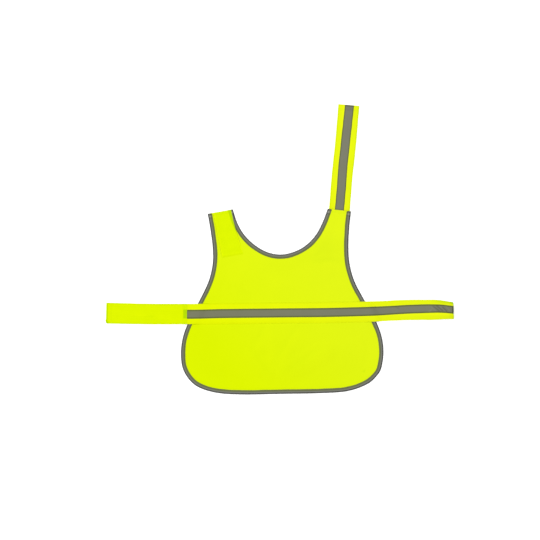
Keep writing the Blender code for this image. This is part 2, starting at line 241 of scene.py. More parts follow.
def ridge_lifts(places: Array, table: Sequence[Sequence[float]]) -> Iterator[tuple[Array, Array]]:
    """Measures a table's ridges one by one.

    Args:
        places: The x and y of each place.
        table: Rows of start, end, rise and half width.

    Yields:
        How far along the ridge each place lies, from 0 to 1, and the ridge's height there.
    """
    for start_x, start_y, end_x, end_y, rise, half_width in table:
        start, span = np.array((start_x, start_y)), np.array((end_x - start_x, end_y - start_y))
        share = np.clip(((places - start) @ span) / (span @ span), 0.0, 1.0)
        away = np.hypot(*(places - start - share[:, None] * span).T)
        yield share, rise * ramp(away, half_width, 0.0)


@dataclass(frozen=True)
class Step:
    """An amount that sets in smoothly from its start and is whole at its end."""

    amount: float
    start: float
    end: float

    def at(self, values: Array) -> Array:
        """The amount at each of the values."""
        return self.amount * ramp(values, self.start, self.end)


@dataclass(frozen=True)
class Spot:
    """An amount at one place, which fades to both sides of it."""

    amount: float
    middle: float
    width: float

    def at(self, values: Array) -> Array:
        """The amount at each of the values."""
        return self.amount * bump(values, self.middle, self.width)


@dataclass(frozen=True)
class Wave:
    """An uneven wave of an amount up and down."""

    amount: float
    length: float
    seed: float

    def at(self, values: Array) -> Array:
        """The wave's height at each of the values."""
        return self.amount * wobble(values, self.length, self.seed)


def product(pair: tuple, first: Array, second: Array) -> Array:
    """One amount at the first values times the other at the second."""
    return pair[0].at(first) * pair[1].at(second)


def roll(gap: Array, drop: float, reach: float) -> Array:
    """How far a folded end rolls down, at distances from the fold."""
    return drop * ramp(gap, reach, 0.0) ** 2


def add_mesh(name: str, mesh: bmesh.types.BMesh, material: bpy.types.Material) -> bpy.types.Object:
    """Makes a mesh a smooth object in the scene.

    Args:
        name: The object's name.
        mesh: The mesh, which is used up.
        material: Its material.

    Returns:
        The object.
    """
    data = bpy.data.meshes.new(name)
    mesh.to_mesh(data)
    mesh.free()
    data.shade_smooth()
    data.materials.append(material)
    piece = bpy.data.objects.new(name, data)
    bpy.context.scene.collection.objects.link(piece)
    return piece


class SmoothLine:
    """A smooth line through knots on the plane, measured along its length."""

    def __init__(self, knots: Sequence[tuple[float, float]], steps: int = 14) -> None:
        """Runs a curve through the knots.

        Args:
            knots: The line's knots in millimetres.
            steps: How many pieces to make between two knots.
        """
        flat = [Vector((x, y, 0.0)) for x, y in knots]
        ends = [2 * flat[0] - flat[1]] + flat + [2 * flat[-1] - flat[-2]]
        points = [flat[0]]
        for before, here, there, after in zip(ends, ends[1:], ends[2:], ends[3:]):
            reach = (there - here).length
            lead = (there - before) * reach / (3.0 * ((here - before).length + reach))
            trail = (after - here) * reach / (3.0 * ((after - there).length + reach))
            points.extend(geometry.interpolate_bezier(here, here + lead, there - trail, there, steps + 1)[1:])
        self.points = np.array([(p.x, p.y) for p in points])
        self.marks = np.concatenate(([0.0], np.cumsum(np.hypot(*np.diff(self.points, axis=0).T))))
        self.length = float(self.marks[-1])

    def at(self, distance: Array) -> Places:
        """Finds points on the line, which goes on straight past its ends.

        Args:
            distance: Distances along the line.

        Returns:
            The x and y of each point.
        """
        distance = np.asarray(distance, dtype=float)
        inside = np.clip(distance, 0.0, self.length)
        places = np.stack([np.interp(inside, self.marks, self.points[:, axis]) for axis in (0, 1)], axis=-1)
        first, last = self.points[1] - self.points[0], self.points[-1] - self.points[-2]
        past = (distance - inside)[..., None]
        return places + np.where(past < 0, first / np.hypot(*first), last / np.hypot(*last)) * past

    def left(self, distance: Array) -> Places:
        """Finds the unit vectors to the left of the line.

        Args:
            distance: Distances along the line.

        Returns:
            The x and y of each vector.
        """
        distance = np.asarray(distance, dtype=float)
        ahead = self.at(distance + PROBE) - self.at(distance - PROBE)
        ahead = ahead / np.hypot(ahead[..., 0], ahead[..., 1])[..., None]
        return np.stack([-ahead[..., 1], ahead[..., 0]], axis=-1)

    def offset(self, places: Places) -> Array:
        """Measures how far places lie to the left of the line.

        Args:
            places: The x and y of each place.

        Returns:
            The distances, negative to the right.
        """
        starts, spans = self.points[:-1], np.diff(self.points, axis=0)
        squares = (spans * spans).sum(axis=1)
        result = np.empty(len(places))
        for begin in range(0, len(places), BATCH):
            away = places[begin : begin + BATCH, None, :] - starts[None]
            share = np.clip((away * spans).sum(axis=2) / squares, 0.0, 1.0)
            gaps = away - spans * share[..., None]
            nearest = np.argmin((gaps * gaps).sum(axis=2), axis=1)
            rows = np.arange(len(nearest))
            turn = spans[nearest, 0] * away[rows, nearest, 1] - spans[nearest, 1] * away[rows, nearest, 0]
            result[begin : begin + BATCH] = np.copysign(np.hypot(*gaps[rows, nearest].T), turn)
        return result

    def across_x(self, x: Array) -> Array:
        """The line's y at each x, for a line that runs along X."""
        return np.interp(x, self.points[:, 0], self.points[:, 1])


class DepthField:
    """How far places lie in from a line, measured once on an even grid and read between its points."""

    step = 1.6
    corner = np.array((-225.0, -305.0))
    counts = (288, 262)

    def __init__(self, line: SmoothLine, side: float) -> None:
        """Measures the grid.

        Args:
            line: The line.
            side: 1 where the inside lies to the left of the line and -1 where it lies to the right.
        """
        x, y = (self.corner[axis] + self.step * np.arange(self.counts[axis]) for axis in (0, 1))
        places = np.stack(np.meshgrid(x, y, indexing="ij"), axis=-1).reshape(-1, 2)
        self.depths = side * line.offset(places).reshape(self.counts)

    def read(self, places: Places) -> Array:
        """Reads the depths at places.

        Args:
            places: The x and y of each place.

        Returns:
            The depths, negative outside.
        """
        spot = (places - self.corner) / self.step
        low = np.clip(np.floor(spot).astype(int), 0, np.array(self.counts) - 2)
        share = np.clip(spot - low, 0.0, 1.0)
        (i, j), (a, b) = low.T, share.T
        near = self.depths[i, j] * (1.0 - b) + self.depths[i, j + 1] * b
        far = self.depths[i + 1, j] * (1.0 - b) + self.depths[i + 1, j + 1] * b
        return near * (1.0 - a) + far * a


@dataclass(frozen=True)
class Layers:
    """The walls and gaps of the solids that the cloth follows."""

    wall: float = 1.0
    gap: float = 0.3
    tape_width: float = 40.5
    reflective_width: float = 18.0
    binding_width: float = 9.0
    bound_depth: float = 9.6
    panel_settle: float = 34.0
    strap_settle: float = 15.0
    tail_margin: float = 6.0
    tail_settle: float = 30.0
    half_shoulder: float = 34.0
    folds_below_belt: tuple[float, float] = (38.0, 62.0)

    @property
    def layer(self) -> float:
        """The step up to the next layer."""
        return self.wall + self.gap


class LaidVest:
    """The heights at which the laid vest's cloth rests, in millimetres."""

    def __init__(self, layers: Layers) -> None:
        """Draws the vest's lines.

        Args:
            layers: The walls and gaps of the solids.
        """
        self.layers = layers
        self.neck = SmoothLine(NECKLINE)
        self.edge = SmoothLine(OUTER_EDGE)
        self.belt = SmoothLine(BELT)
        self.strap = SmoothLine(STRAP)
        self.neck_field = DepthField(self.neck, -1.0)
        self.edge_field = DepthField(self.edge, 1.0)

    def neck_depth(self, places: Places) -> Array:
        """How far places lie in from the neckline."""
        return self.neck_field.read(places)

    def edge_depth(self, places: Places) -> Array:
        """How far places lie in from the outer edge."""
        return self.edge_field.read(places)

    def tail_lift(self, places: Places) -> Array:
        """The height that the strap's hidden tail adds to the cloth above it.

        Args:
            places: The x and y of each place.

        Returns:
            The heights.
        """
        end, top = np.array(STRAP[-1]), np.array(STRAP[-2])
        way = (top - end) / np.hypot(*(top - end))
        away = places - end
        along = away @ way
        across = away[:, 0] * way[1] - away[:, 1] * way[0]
        beside = np.maximum(np.abs(across) - self.layers.tape_width / 2 - self.layers.tail_margin, 0.0)
        below = np.maximum(-along - self.layers.tail_margin, 0.0)
        return self.layers.layer * ramp(np.hypot(beside, below), self.layers.tail_settle, 0.0)

    def creases(self, places: Places) -> Array:
        """The height of the panel's creases, which fade at both of their ends."""
        ridges = ridge_lifts(places, CREASES)
        return sum(lift * ramp(share, -0.25, 0.25) * ramp(1.0 - share, -0.25, 0.25) for share, lift in ridges)

    def clear_of_seams(self, places: Places, settle: float) -> Array:
        """Runs smoothly from 0 at the bound edges to 1 at a depth of settle."""
        bound = self.layers.bound_depth
        return ramp(self.neck_depth(places), bound, settle) * ramp(self.edge_depth(places), bound, settle)

    def panel_under(self, places: Places) -> Array:
        """The height of the panel's underside.

        Args:
            places: The x and y of each place.

        Returns:
            The heights.
        """
        seams = self.layers.layer * (1.0 - self.clear_of_seams(places, self.layers.panel_settle))
        below_belt = self.belt.across_x(places[:, 0]) - places[:, 1]
        highest = np.maximum.reduce([lift for _, lift in ridge_lifts(places, FOLDS)])
        return seams + self.tail_lift(places) + highest * ramp(below_belt, *self.layers.folds_below_belt)

    def over_vest(self, places: Places) -> Array:
        """The height of the underside of what is laid on the panel, its bindings or the floor.

        Args:
            places: The x and y of each place.

        Returns:
            The heights.
        """
        layer, settle = self.layers.layer, self.layers.strap_settle
        depth = np.minimum(self.neck_depth(places), self.edge_depth(places))
        beside = 3 * layer * ramp(-depth, settle, 0.0)
        clear = self.clear_of_seams(places, self.layers.binding_width + settle)
        return np.where(depth < 0.0, beside, self.panel_under(places) + layer * (2.0 - clear))

    def shoulder_gap(self, places: Places) -> Array:
        """How far places lie below the nearer shoulder's folded edge.

        Args:
            places: The x and y of each place.

        Returns:
            The distances.
        """
        gaps = []
        for end in (0, -1):
            start, stop = np.array(NECKLINE[end]), np.array(OUTER_EDGE[end])
            way = (stop - start) / np.hypot(*(stop - start))
            away = places - start
            down = np.abs(away[:, 0] * way[1] - away[:, 1] * way[0])
            beside = np.maximum(np.abs((places - (start + stop) / 2) @ way) - self.layers.half_shoulder, 0.0)
            gaps.append(np.hypot(down, beside))
        return np.minimum(*gaps)


def new_group(name: str, numbers: Sequence[str], output: str) -> tuple[Tree, Node]:
    """Makes an empty shader node group that reads a vector and numbers and gives one number.

    Args:
        name: The group's name.
        numbers: The names of its number inputs.
        output: The name of its output.

    Returns:
        The group and its input node.
    """
    tree = bpy.data.node_groups.new(name, "ShaderNodeTree")
    tree.interface.new_socket("Vector", in_out="INPUT", socket_type="NodeSocketVector")
    for label in numbers:
        tree.interface.new_socket(label, in_out="INPUT", socket_type="NodeSocketFloat")
    tree.interface.new_socket(output, in_out="OUTPUT", socket_type="NodeSocketFloat")
    source = tree.nodes.new("NodeGroupInput")
    tree.nodes.new("NodeGroupOutput").name = "out"
    return tree, source


def give(tree: Tree, result: Socket) -> Tree:
    """Links a group's result to its output and returns the group."""
    tree.links.new(result, tree.nodes["out"].inputs[0])
    return tree


def split(tree: Tree, vector: Socket) -> bpy.types.bpy_prop_collection:
    """Splits a vector into its X, Y and Z sockets.

    Args:
        tree: The group's or the material's tree.
        vector: The vector.

    Returns:
        The three sockets.
    """
    parts = tree.nodes.new("ShaderNodeSeparateXYZ")
    tree.links.new(vector, parts.inputs[0])
    return parts.outputs


def spread(tree: Tree, value: Socket, low: float, high: float, kind: str = "LINEAR") -> Socket:
    """Spreads the values from low to high over 0 to 1.

    Args:
        tree: The group's or the material's tree.
        value: The value.
        low: What becomes 0.
        high: What becomes 1.
        kind: How the values run between them.

    Returns:
        The spread value's socket.
    """
    node = tree.nodes.new("ShaderNodeMapRange")
    node.interpolation_type = kind
    node.inputs["From Min"].default_value = low
    node.inputs["From Max"].default_value = high
    tree.links.new(value, node.inputs["Value"])
    return node.outputs[0]


def maths(tree: Tree, operation: str, *values: object) -> Socket:
    """Adds a Math node.

    Args:
        tree: The tree that it goes in.
        operation: The node's operation.
        values: Numbers, or sockets to link from.

    Returns:
        The node's output.
    """
    node = tree.nodes.new("ShaderNodeMath")
    node.operation = operation
    for socket, value in zip(node.inputs, values):
        if isinstance(value, Socket):
            tree.links.new(value, socket)
        else:
            socket.default_value = float(value)
    return node.outputs[0]


class ClothEffects:
    """The shader node groups that the cloths share, each built once."""

    def __init__(self) -> None:
        """Builds the groups."""
        self.weave = self._weave()
        self.ribs = self._ribs()
        self.uneven = self._uneven()
        self.side = self._painted_light_side()

    @staticmethod
    def _weave() -> Tree:
        """Threads that cross: a height from two counts of threads for each metre.

        Returns:
            The group.
        """
        tree, source = new_group("Crossed threads", ("Warp", "Weft"), "Height")
        parts, waves = split(tree, source.outputs["Vector"]), []
        for axis, count in (("X", "Warp"), ("Y", "Weft")):
            turn = maths(tree, "MULTIPLY", parts[axis], source.outputs[count])
            waves.append(maths(tree, "SINE", maths(tree, "MULTIPLY", turn, 2.0 * math.pi)))
        return give(tree, maths(tree, "MULTIPLY_ADD", maths(tree, "MULTIPLY", *waves), 0.5, 0.5))

    @staticmethod
    def _ribs(cords: float = 5200.0) -> Tree:
        """Ribs across a tape: a height from a count of ribs for each metre, a little uneven.

        Args:
            cords: How close the tape's cords lie, in turns for each metre.

        Returns:
            The group.
        """
        tree, source = new_group("Tape ribs", ("Ribs",), "Height")
        parts = split(tree, source.outputs["Vector"])
        turn = maths(tree, "MULTIPLY", parts["X"], source.outputs["Ribs"])
        across = maths(tree, "SINE", maths(tree, "MULTIPLY", parts["Y"], cords))
        wave = maths(tree, "SINE", maths(tree, "MULTIPLY", turn, 2.0 * math.pi))
        return give(tree, maths(tree, "MULTIPLY_ADD", across, 0.15, maths(tree, "MULTIPLY_ADD", wave, 0.35, 0.5)))

    @staticmethod
    def _uneven() -> Tree:
        """Soft unevenness: a mask from noise of one scale.

        Returns:
            The group.
        """
        tree, source = new_group("Soft unevenness", ("Scale",), "Mask")
        noise = tree.nodes.new("ShaderNodeTexNoise")
        noise.inputs["Detail"].default_value = 3.0
        noise.inputs["Roughness"].default_value = 0.55
        for label in ("Vector", "Scale"):
            tree.links.new(source.outputs[label], noise.inputs[label])
        return give(tree, spread(tree, noise.outputs[0], 0.32, 0.68, "SMOOTHSTEP"))

    @staticmethod
    def _painted_light_side(low: float = -0.319, high: float = 0.117) -> Tree:
        """How far a place lies towards the vest's upper right, from 0 to 1: the mask of the painted light falloff
        across the vest.

        Args:
            low: Where the mask is 0.
            high: Where the mask is 1.

        Returns:
            The group.
        """
        tree, source = new_group("Painted light towards the upper right", (), "Mask")
        parts = split(tree, source.outputs["Vector"])
        sloped = maths(tree, "MULTIPLY_ADD", parts["Y"], 0.9, parts["X"])
        return give(tree, spread(tree, sloped, low, high))


@dataclass(frozen=True)
class ClothFinish:
    """One cloth's look: its colours, its surface and how uneven it is."""

    name: str
    surface: Surface
    # near and far are the colours at the vest's lower left and upper right; the change between them is a painted light
    # falloff
    near: tuple[float, float, float]
    far: tuple[float, float, float]
    uneven: float = 0.03
    # green_hold: how much of a tone change the green channel keeps, so darker tone, painted shade included, stays
    # greener
    green_hold: float = 0.62
    roughness: float = 0.8
    specular: float = 0.01
    sheen: float = 0.0
    threads: float = 1100.0
    depth: float = 0.05
    uneven_scale: float = 16.0
    on_tape: bool = True
    shown: tuple[float, float, float] = (0.305, 0.465, 0.001)

    def material(self, effects: ClothEffects) -> bpy.types.Material:
        """Makes the cloth's material.

        Args:
            effects: The shared node groups.

        Returns:
            The material.
        """
        made = bpy.data.materials.new(self.name)
        made.use_nodes = True
        tree = made.node_tree
        shader = tree.nodes["Principled BSDF"]
        shader.inputs["Roughness"].default_value = self.roughness
        shader.inputs["Specular IOR Level"].default_value = self.specular
        shader.inputs["Sheen Weight"].default_value = self.sheen
        shader.inputs["Sheen Roughness"].default_value = 0.5
        shader.inputs["Sheen Tint"].default_value = (*self.near, 1.0)
        where = self._where(tree)
        tree.links.new(self._colour(tree, effects, where), shader.inputs["Base Color"])
        bump = tree.nodes.new("ShaderNodeBump")
        bump.inputs["Strength"].default_value = 0.6
        bump.inputs["Distance"].default_value = self.depth * MM
        tree.links.new(self._height(tree, effects, where), bump.inputs["Height"])
        tree.links.new(bump.outputs[0], shader.inputs["Normal"])
        return made

    def _where(self, tree: Tree) -> Socket:
        """The coordinates that the pattern follows.

        Args:
            tree: The material's tree.

        Returns:
            The coordinates' socket.
        """
        if self.on_tape:
            node = tree.nodes.new("ShaderNodeUVMap")
            node.uv_map = "cloth"
            return node.outputs[0]
        return tree.nodes.new("ShaderNodeTexCoord").outputs["Object"]

    def _group(self, tree: Tree, group: Tree, where: Socket, **values: float) -> Node:
        """Places a shared group.

        Args:
            tree: The material's tree.
            group: The group.
            where: The coordinates that it reads.
            values: The group's other inputs.

        Returns:
            The group's node.
        """
        node = tree.nodes.new("ShaderNodeGroup")
        node.node_tree = group
        tree.links.new(where, node.inputs["Vector"])
        for label, value in values.items():
            node.inputs[label].default_value = value
        return node

    def _mix(self, tree: Tree, mask: Socket, first: object, second: object, blend: str = "MIX") -> Socket:
        """Mixes two colours by a mask.

        Args:
            tree: The material's tree.
            mask: The mask.
            first: A colour or a socket, where the mask is 0.
            second: A colour or a socket, where the mask is 1.
            blend: How they mix.

        Returns:
            The mixed colour.
        """
        node = tree.nodes.new("ShaderNodeMix")
        node.data_type = "RGBA"
        node.blend_type = blend
        node.clamp_factor = True
        if isinstance(mask, Socket):
            tree.links.new(mask, node.inputs["Factor"])
        else:
            node.inputs["Factor"].default_value = mask
        for socket, value in ((node.inputs[6], first), (node.inputs[7], second)):
            if isinstance(value, Socket):
                tree.links.new(value, socket)
            else:
                socket.default_value = (*value, 1.0)
        return node.outputs[2]

    def _colour(self, tree: Tree, effects: ClothEffects, where: Socket) -> Socket:
        """The cloth's colour over its surface.

        Args:
            tree: The material's tree.
            effects: The shared node groups.
            where: The coordinates that the pattern follows.

        Returns:
            The colour's socket.
        """
        place = tree.nodes.new("ShaderNodeTexCoord").outputs["Object"]
        side = self._group(tree, effects.side, place).outputs[0]
        # Painted light falloff: the colour runs from near to far towards the vest's upper right
        colour = self._mix(tree, side, self.near, self.far)
        patches = self._group(tree, effects.uneven, where, Scale=self.uneven_scale).outputs[0]
        tone = maths(tree, "MULTIPLY_ADD", patches, -self.uneven, 1.0 + self.uneven / 2)
        if self.surface in (Surface.LOOPS, Surface.BEADED):
            speckle = self._group(tree, effects.uneven, where, Scale=self.threads).outputs[0]
            tone = maths(tree, "MULTIPLY_ADD", speckle, -self.uneven, tone)
        # The painted tone adds painted shade and highlights at folds, edges, creases and ends, as well as a few real
        # marks
        painted = tree.nodes.new("ShaderNodeAttribute")
        painted.attribute_name = "tone"
        tone = maths(tree, "ADD", tone, painted.outputs["Fac"])
        green = maths(tree, "MULTIPLY_ADD", tone, self.green_hold, 1.0 - self.green_hold)
        level = tree.nodes.new("ShaderNodeCombineColor")
        for channel, part in zip(level.inputs, (tone, green, tone)):
            tree.links.new(part, channel)
        colour = self._mix(tree, 1.0, colour, level.outputs[0], "MULTIPLY")
        shown = tree.nodes.new("ShaderNodeAttribute")
        shown.attribute_name = "show_through"
        return self._mix(tree, shown.outputs["Fac"], colour, self.shown)

    def _height(self, tree: Tree, effects: ClothEffects, where: Socket) -> Socket:
        """The height of the cloth's threads, ribs, loops or beads.

        Args:
            tree: The material's tree.
            effects: The shared node groups.
            where: The coordinates that the pattern follows.

        Returns:
            The height's socket.
        """
        if self.surface in (Surface.KNIT, Surface.PLAIN, Surface.HOOKS, Surface.THREAD):
            weft = self.threads * (0.72 if self.surface is Surface.KNIT else 1.0)
            return self._group(tree, effects.weave, where, Warp=self.threads, Weft=weft).outputs[0]
        if self.surface is Surface.RIBBED:
            return self._group(tree, effects.ribs, where, Ribs=self.threads).outputs[0]
        return self._group(tree, effects.uneven, where, Scale=self.threads).outputs[0]


FINISHES = {
    Slot.PANEL: ClothFinish(
        "fluorescent yellow polyester knit", Surface.KNIT, (0.465, 0.577, 0.0), (0.494, 0.588, 0.006),
        uneven=0.02, sheen=0.04, threads=900.0, uneven_scale=9.0, on_tape=False,
    ),
    Slot.BINDING: ClothFinish(
        "grey reflective binding", Surface.PLAIN, (0.134, 0.136, 0.114), (0.136, 0.137, 0.118),
        green_hold=1.0, roughness=0.62, specular=0.12, threads=1400.0, depth=0.04, uneven=0.05, uneven_scale=60.0,
        shown=(0.27, 0.33, 0.0),
    ),
    Slot.WEBBING: ClothFinish(
        "fluorescent yellow tape", Surface.RIBBED, (0.505, 0.588, 0.0), (0.521, 0.592, 0.004),
        sheen=0.04, threads=620.0, depth=0.09, uneven=0.025, uneven_scale=25.0,
    ),
    Slot.REFLECTIVE: ClothFinish(
        "grey reflective tape", Surface.BEADED, (0.116, 0.122, 0.070), (0.123, 0.127, 0.087),
        green_hold=1.0, roughness=0.55, specular=0.12, threads=2600.0, depth=0.02, uneven=0.03, uneven_scale=30.0,
        shown=(0.27, 0.33, 0.0),
    ),
    Slot.LOOP: ClothFinish(
        "fluorescent yellow loop tape", Surface.LOOPS, (0.486, 0.596, 0.0), (0.470, 0.594, 0.001),
        roughness=0.95, sheen=0.04, threads=1500.0, depth=0.2, uneven=0.02, uneven_scale=45.0,
    ),
    Slot.HOOK: ClothFinish(
        "fluorescent yellow hook tape", Surface.HOOKS, (0.45, 0.54, 0.005), (0.45, 0.54, 0.007),
        roughness=0.5, specular=0.2, threads=560.0, depth=0.4, uneven=0.04, uneven_scale=40.0,
    ),
}
YELLOW_THREAD = ClothFinish(
    "fluorescent yellow thread", Surface.THREAD, (0.49, 0.575, 0.0), (0.505, 0.578, 0.004),
    roughness=0.6, specular=0.03, threads=3000.0, depth=0.03, on_tape=False,
)
GREY_THREAD = ClothFinish(
    "grey thread", Surface.THREAD, (0.094, 0.096, 0.070), (0.094, 0.096, 0.074),
    green_hold=1.0, roughness=0.6, specular=0.12, threads=3000.0, depth=0.03, on_tape=False,
)


class Wardrobe:
    """The materials of all pieces, made once."""

    def __init__(self) -> None:
        """Makes the materials."""
        effects = ClothEffects()
        self.cloth = {slot: finish.material(effects) for slot, finish in FINISHES.items()}
        self.threads = {
            Slot.WEBBING: YELLOW_THREAD.material(effects),
            Slot.BINDING: GREY_THREAD.material(effects),
        }


@dataclass
class ClothSheet:
    """One sheet of cloth: an even grid that is laid into place and given its thickness."""

    name: str
    slot: Slot
    along: tuple[float, float]
    across: tuple[float, float]
    step: tuple[float, float]
    thickness: float
    bevel: float = 0.0

    def grid(self) -> bmesh.types.BMesh:
        """A flat grid with the sheet's own coordinates, in metres, as its UV map.

        Returns:
            The grid.
        """
        mesh = bmesh.new()
        layer = mesh.loops.layers.uv.new("cloth")
        spans = (self.along[1] - self.along[0], self.across[1] - self.across[0])
        counts = [max(2, round(abs(span) / step)) for span, step in zip(spans, self.step)]
        bmesh.ops.create_grid(mesh, x_segments=counts[0], y_segments=counts[1], size=0.5)
        size = Matrix.Diagonal((spans[0], spans[1], 1.0, 1.0))
        middle = Vector((sum(self.along) / 2, sum(self.across) / 2, 0.0))
        bmesh.ops.transform(mesh, matrix=Matrix.Translation(middle) @ size, verts=mesh.verts)
        for face in mesh.faces:
            for loop in face.loops:
                loop[layer].uv = loop.vert.co.xy * MM
        return mesh

    def dress(
        self, node: str, under: str, lay: Lay, wardrobe: Wardrobe, paint: dict[str, Lay], **stated: object
    ) -> bpy.types.Object:
        """Lays the grid into place, dresses it and hides the solid that it replaces.

        Args:
            node: The solid that the sheet replaces.
            under: What the sheet rests on; not used.
            lay: Gives the x, y and z of places along and across the sheet.
            wardrobe: The materials.
            paint: Gives the tone, with its painted shade and light, or what shows through the sheet, at those places.
            stated: What the sheet states otherwise than a plain laid one; not used.

        Returns:
            The sheet.
        """
        mesh = self.grid()
        along, across = np.array([vert.co.xy for vert in mesh.verts]).T
        values = {label: painted(along, across) for label, painted in paint.items()}
        for vert, place in zip(mesh.verts, lay(along, across)):
            vert.co = place * MM
        piece = self.finish(mesh, wardrobe, values)
        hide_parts(node)
        length, width = self.along[1] - self.along[0], self.across[1] - self.across[0]
        log.info("%s: %.0f mm long", piece.name, length)
        return piece

    def finish(self, mesh: bmesh.types.BMesh, wardrobe: Wardrobe, painted: dict[str, Array]) -> bpy.types.Object:
        """Makes the sheet an object with its wall.

        Args:
            mesh: The laid sheet.
            wardrobe: The materials.
            painted: The painted values at each point.

        Returns:
            The sheet.
        """
        bmesh.ops.recalc_face_normals(mesh, faces=mesh.faces)
        if sum(face.normal.z for face in mesh.faces) < 0.0:
            bmesh.ops.reverse_faces(mesh, faces=mesh.faces)
        piece = add_mesh(self.name, mesh, wardrobe.cloth[self.slot])
        for label, values in painted.items():
            painting = piece.data.attributes.new(label, "FLOAT", "POINT")
            painting.data.foreach_set("value", values.astype(np.float32))
        wall = piece.modifiers.new("Cloth wall", "SOLIDIFY")
        wall.thickness = self.thickness * MM
        wall.offset = 0.0
        wall.use_quality_normals = True
        if self.bevel:
            edge = piece.modifiers.new("Soft edge", "BEVEL")
            edge.width = self.bevel * MM
            edge.segments = 2
            edge.limit_method = "ANGLE"
            edge.angle_limit = math.radians(50.0)
        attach(piece, "root")
        return piece


def row_along(lay: Lay, across: float, up: float) -> Line:
    """A row that runs along a sheet at one place across it, this far over the sheet's middle."""
    return lambda along: lay(along, np.full(len(along), across)) + np.array((0.0, 0.0, up))


def row_across(lay: Lay, along: float, up: float) -> Line:
    """A row that runs across a sheet at one place along it, this far over the sheet's middle."""
    return lambda across: lay(np.full(len(across), along), across) + np.array((0.0, 0.0, up))


@dataclass
class StitchRows:
    """Rows of stitches in one thread, each stitch a small pad of thread sunk into the cloth."""

    name: str
    slot: Slot = Slot.WEBBING
    pitch: float = 2.8
    length: float = 2.3
    thickness: float = 0.4
    proud: float = 0.12
    lean: float = 6.0
    lean_change: float = 2.4
    sides: int = 6
    batch: int = 16
    mesh: bmesh.types.BMesh = field(default_factory=bmesh.new)
    count: int = 0

    def row(self, line: Line, start: float, end: float) -> None:
        """Sews one row.

        Args:
            line: Gives the x, y and z on the cloth at distances along the row.
            start: Where the row starts.
            end: Where it ends.
        """
        number = max(2, round(abs(end - start) / self.pitch))
        marks = np.linspace(start, end, number + 1)
        middles = (marks[:-1] + marks[1:]) / 2
        reach = self.length / 2
        heads, tails = line(middles - reach), line(middles + reach)
        for first in range(0, len(heads), self.batch):
            self._pads(heads[first : first + self.batch], tails[first : first + self.batch])
        self.count += len(heads)

    def _pads(self, heads: Array, tails: Array) -> None:
        """Adds a few stitches.

        Args:
            heads: Where each stitch starts.
            tails: Where each stitch ends.
        """
        few = bmesh.new()
        for index, (head, tail) in enumerate(zip(heads, tails)):
            along = Vector(tail - head)
            middle = Vector((head + tail) / 2) + Vector((0.0, 0.0, self.thickness * self.proud))
            turn = along.to_track_quat("X", "Z").to_matrix().to_4x4()
            lean = Matrix.Rotation(math.radians(self.lean * math.sin(index * self.lean_change)), 4, "Z")
            size = Matrix.Diagonal((along.length / 2, self.thickness / 2, self.thickness / 2, 1.0))
            place = Matrix.Scale(MM, 4) @ Matrix.Translation(middle) @ turn @ lean @ size
            bmesh.ops.create_uvsphere(few, u_segments=self.sides, v_segments=4, radius=1.0, matrix=place)
        made = bpy.data.meshes.new("few stitches")
        few.to_mesh(made)
        few.free()
        self.mesh.from_mesh(made)
        bpy.data.meshes.remove(made)

    def build(self, wardrobe: Wardrobe) -> bpy.types.Object:
        """Makes the rows one object.

        Args:
            wardrobe: The materials.

        Returns:
            The stitches.
        """
        piece = add_mesh(self.name, self.mesh, wardrobe.threads[self.slot])
        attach(piece, "root")
        log.info("%s: %d stitches", self.name, self.count)
        return piece


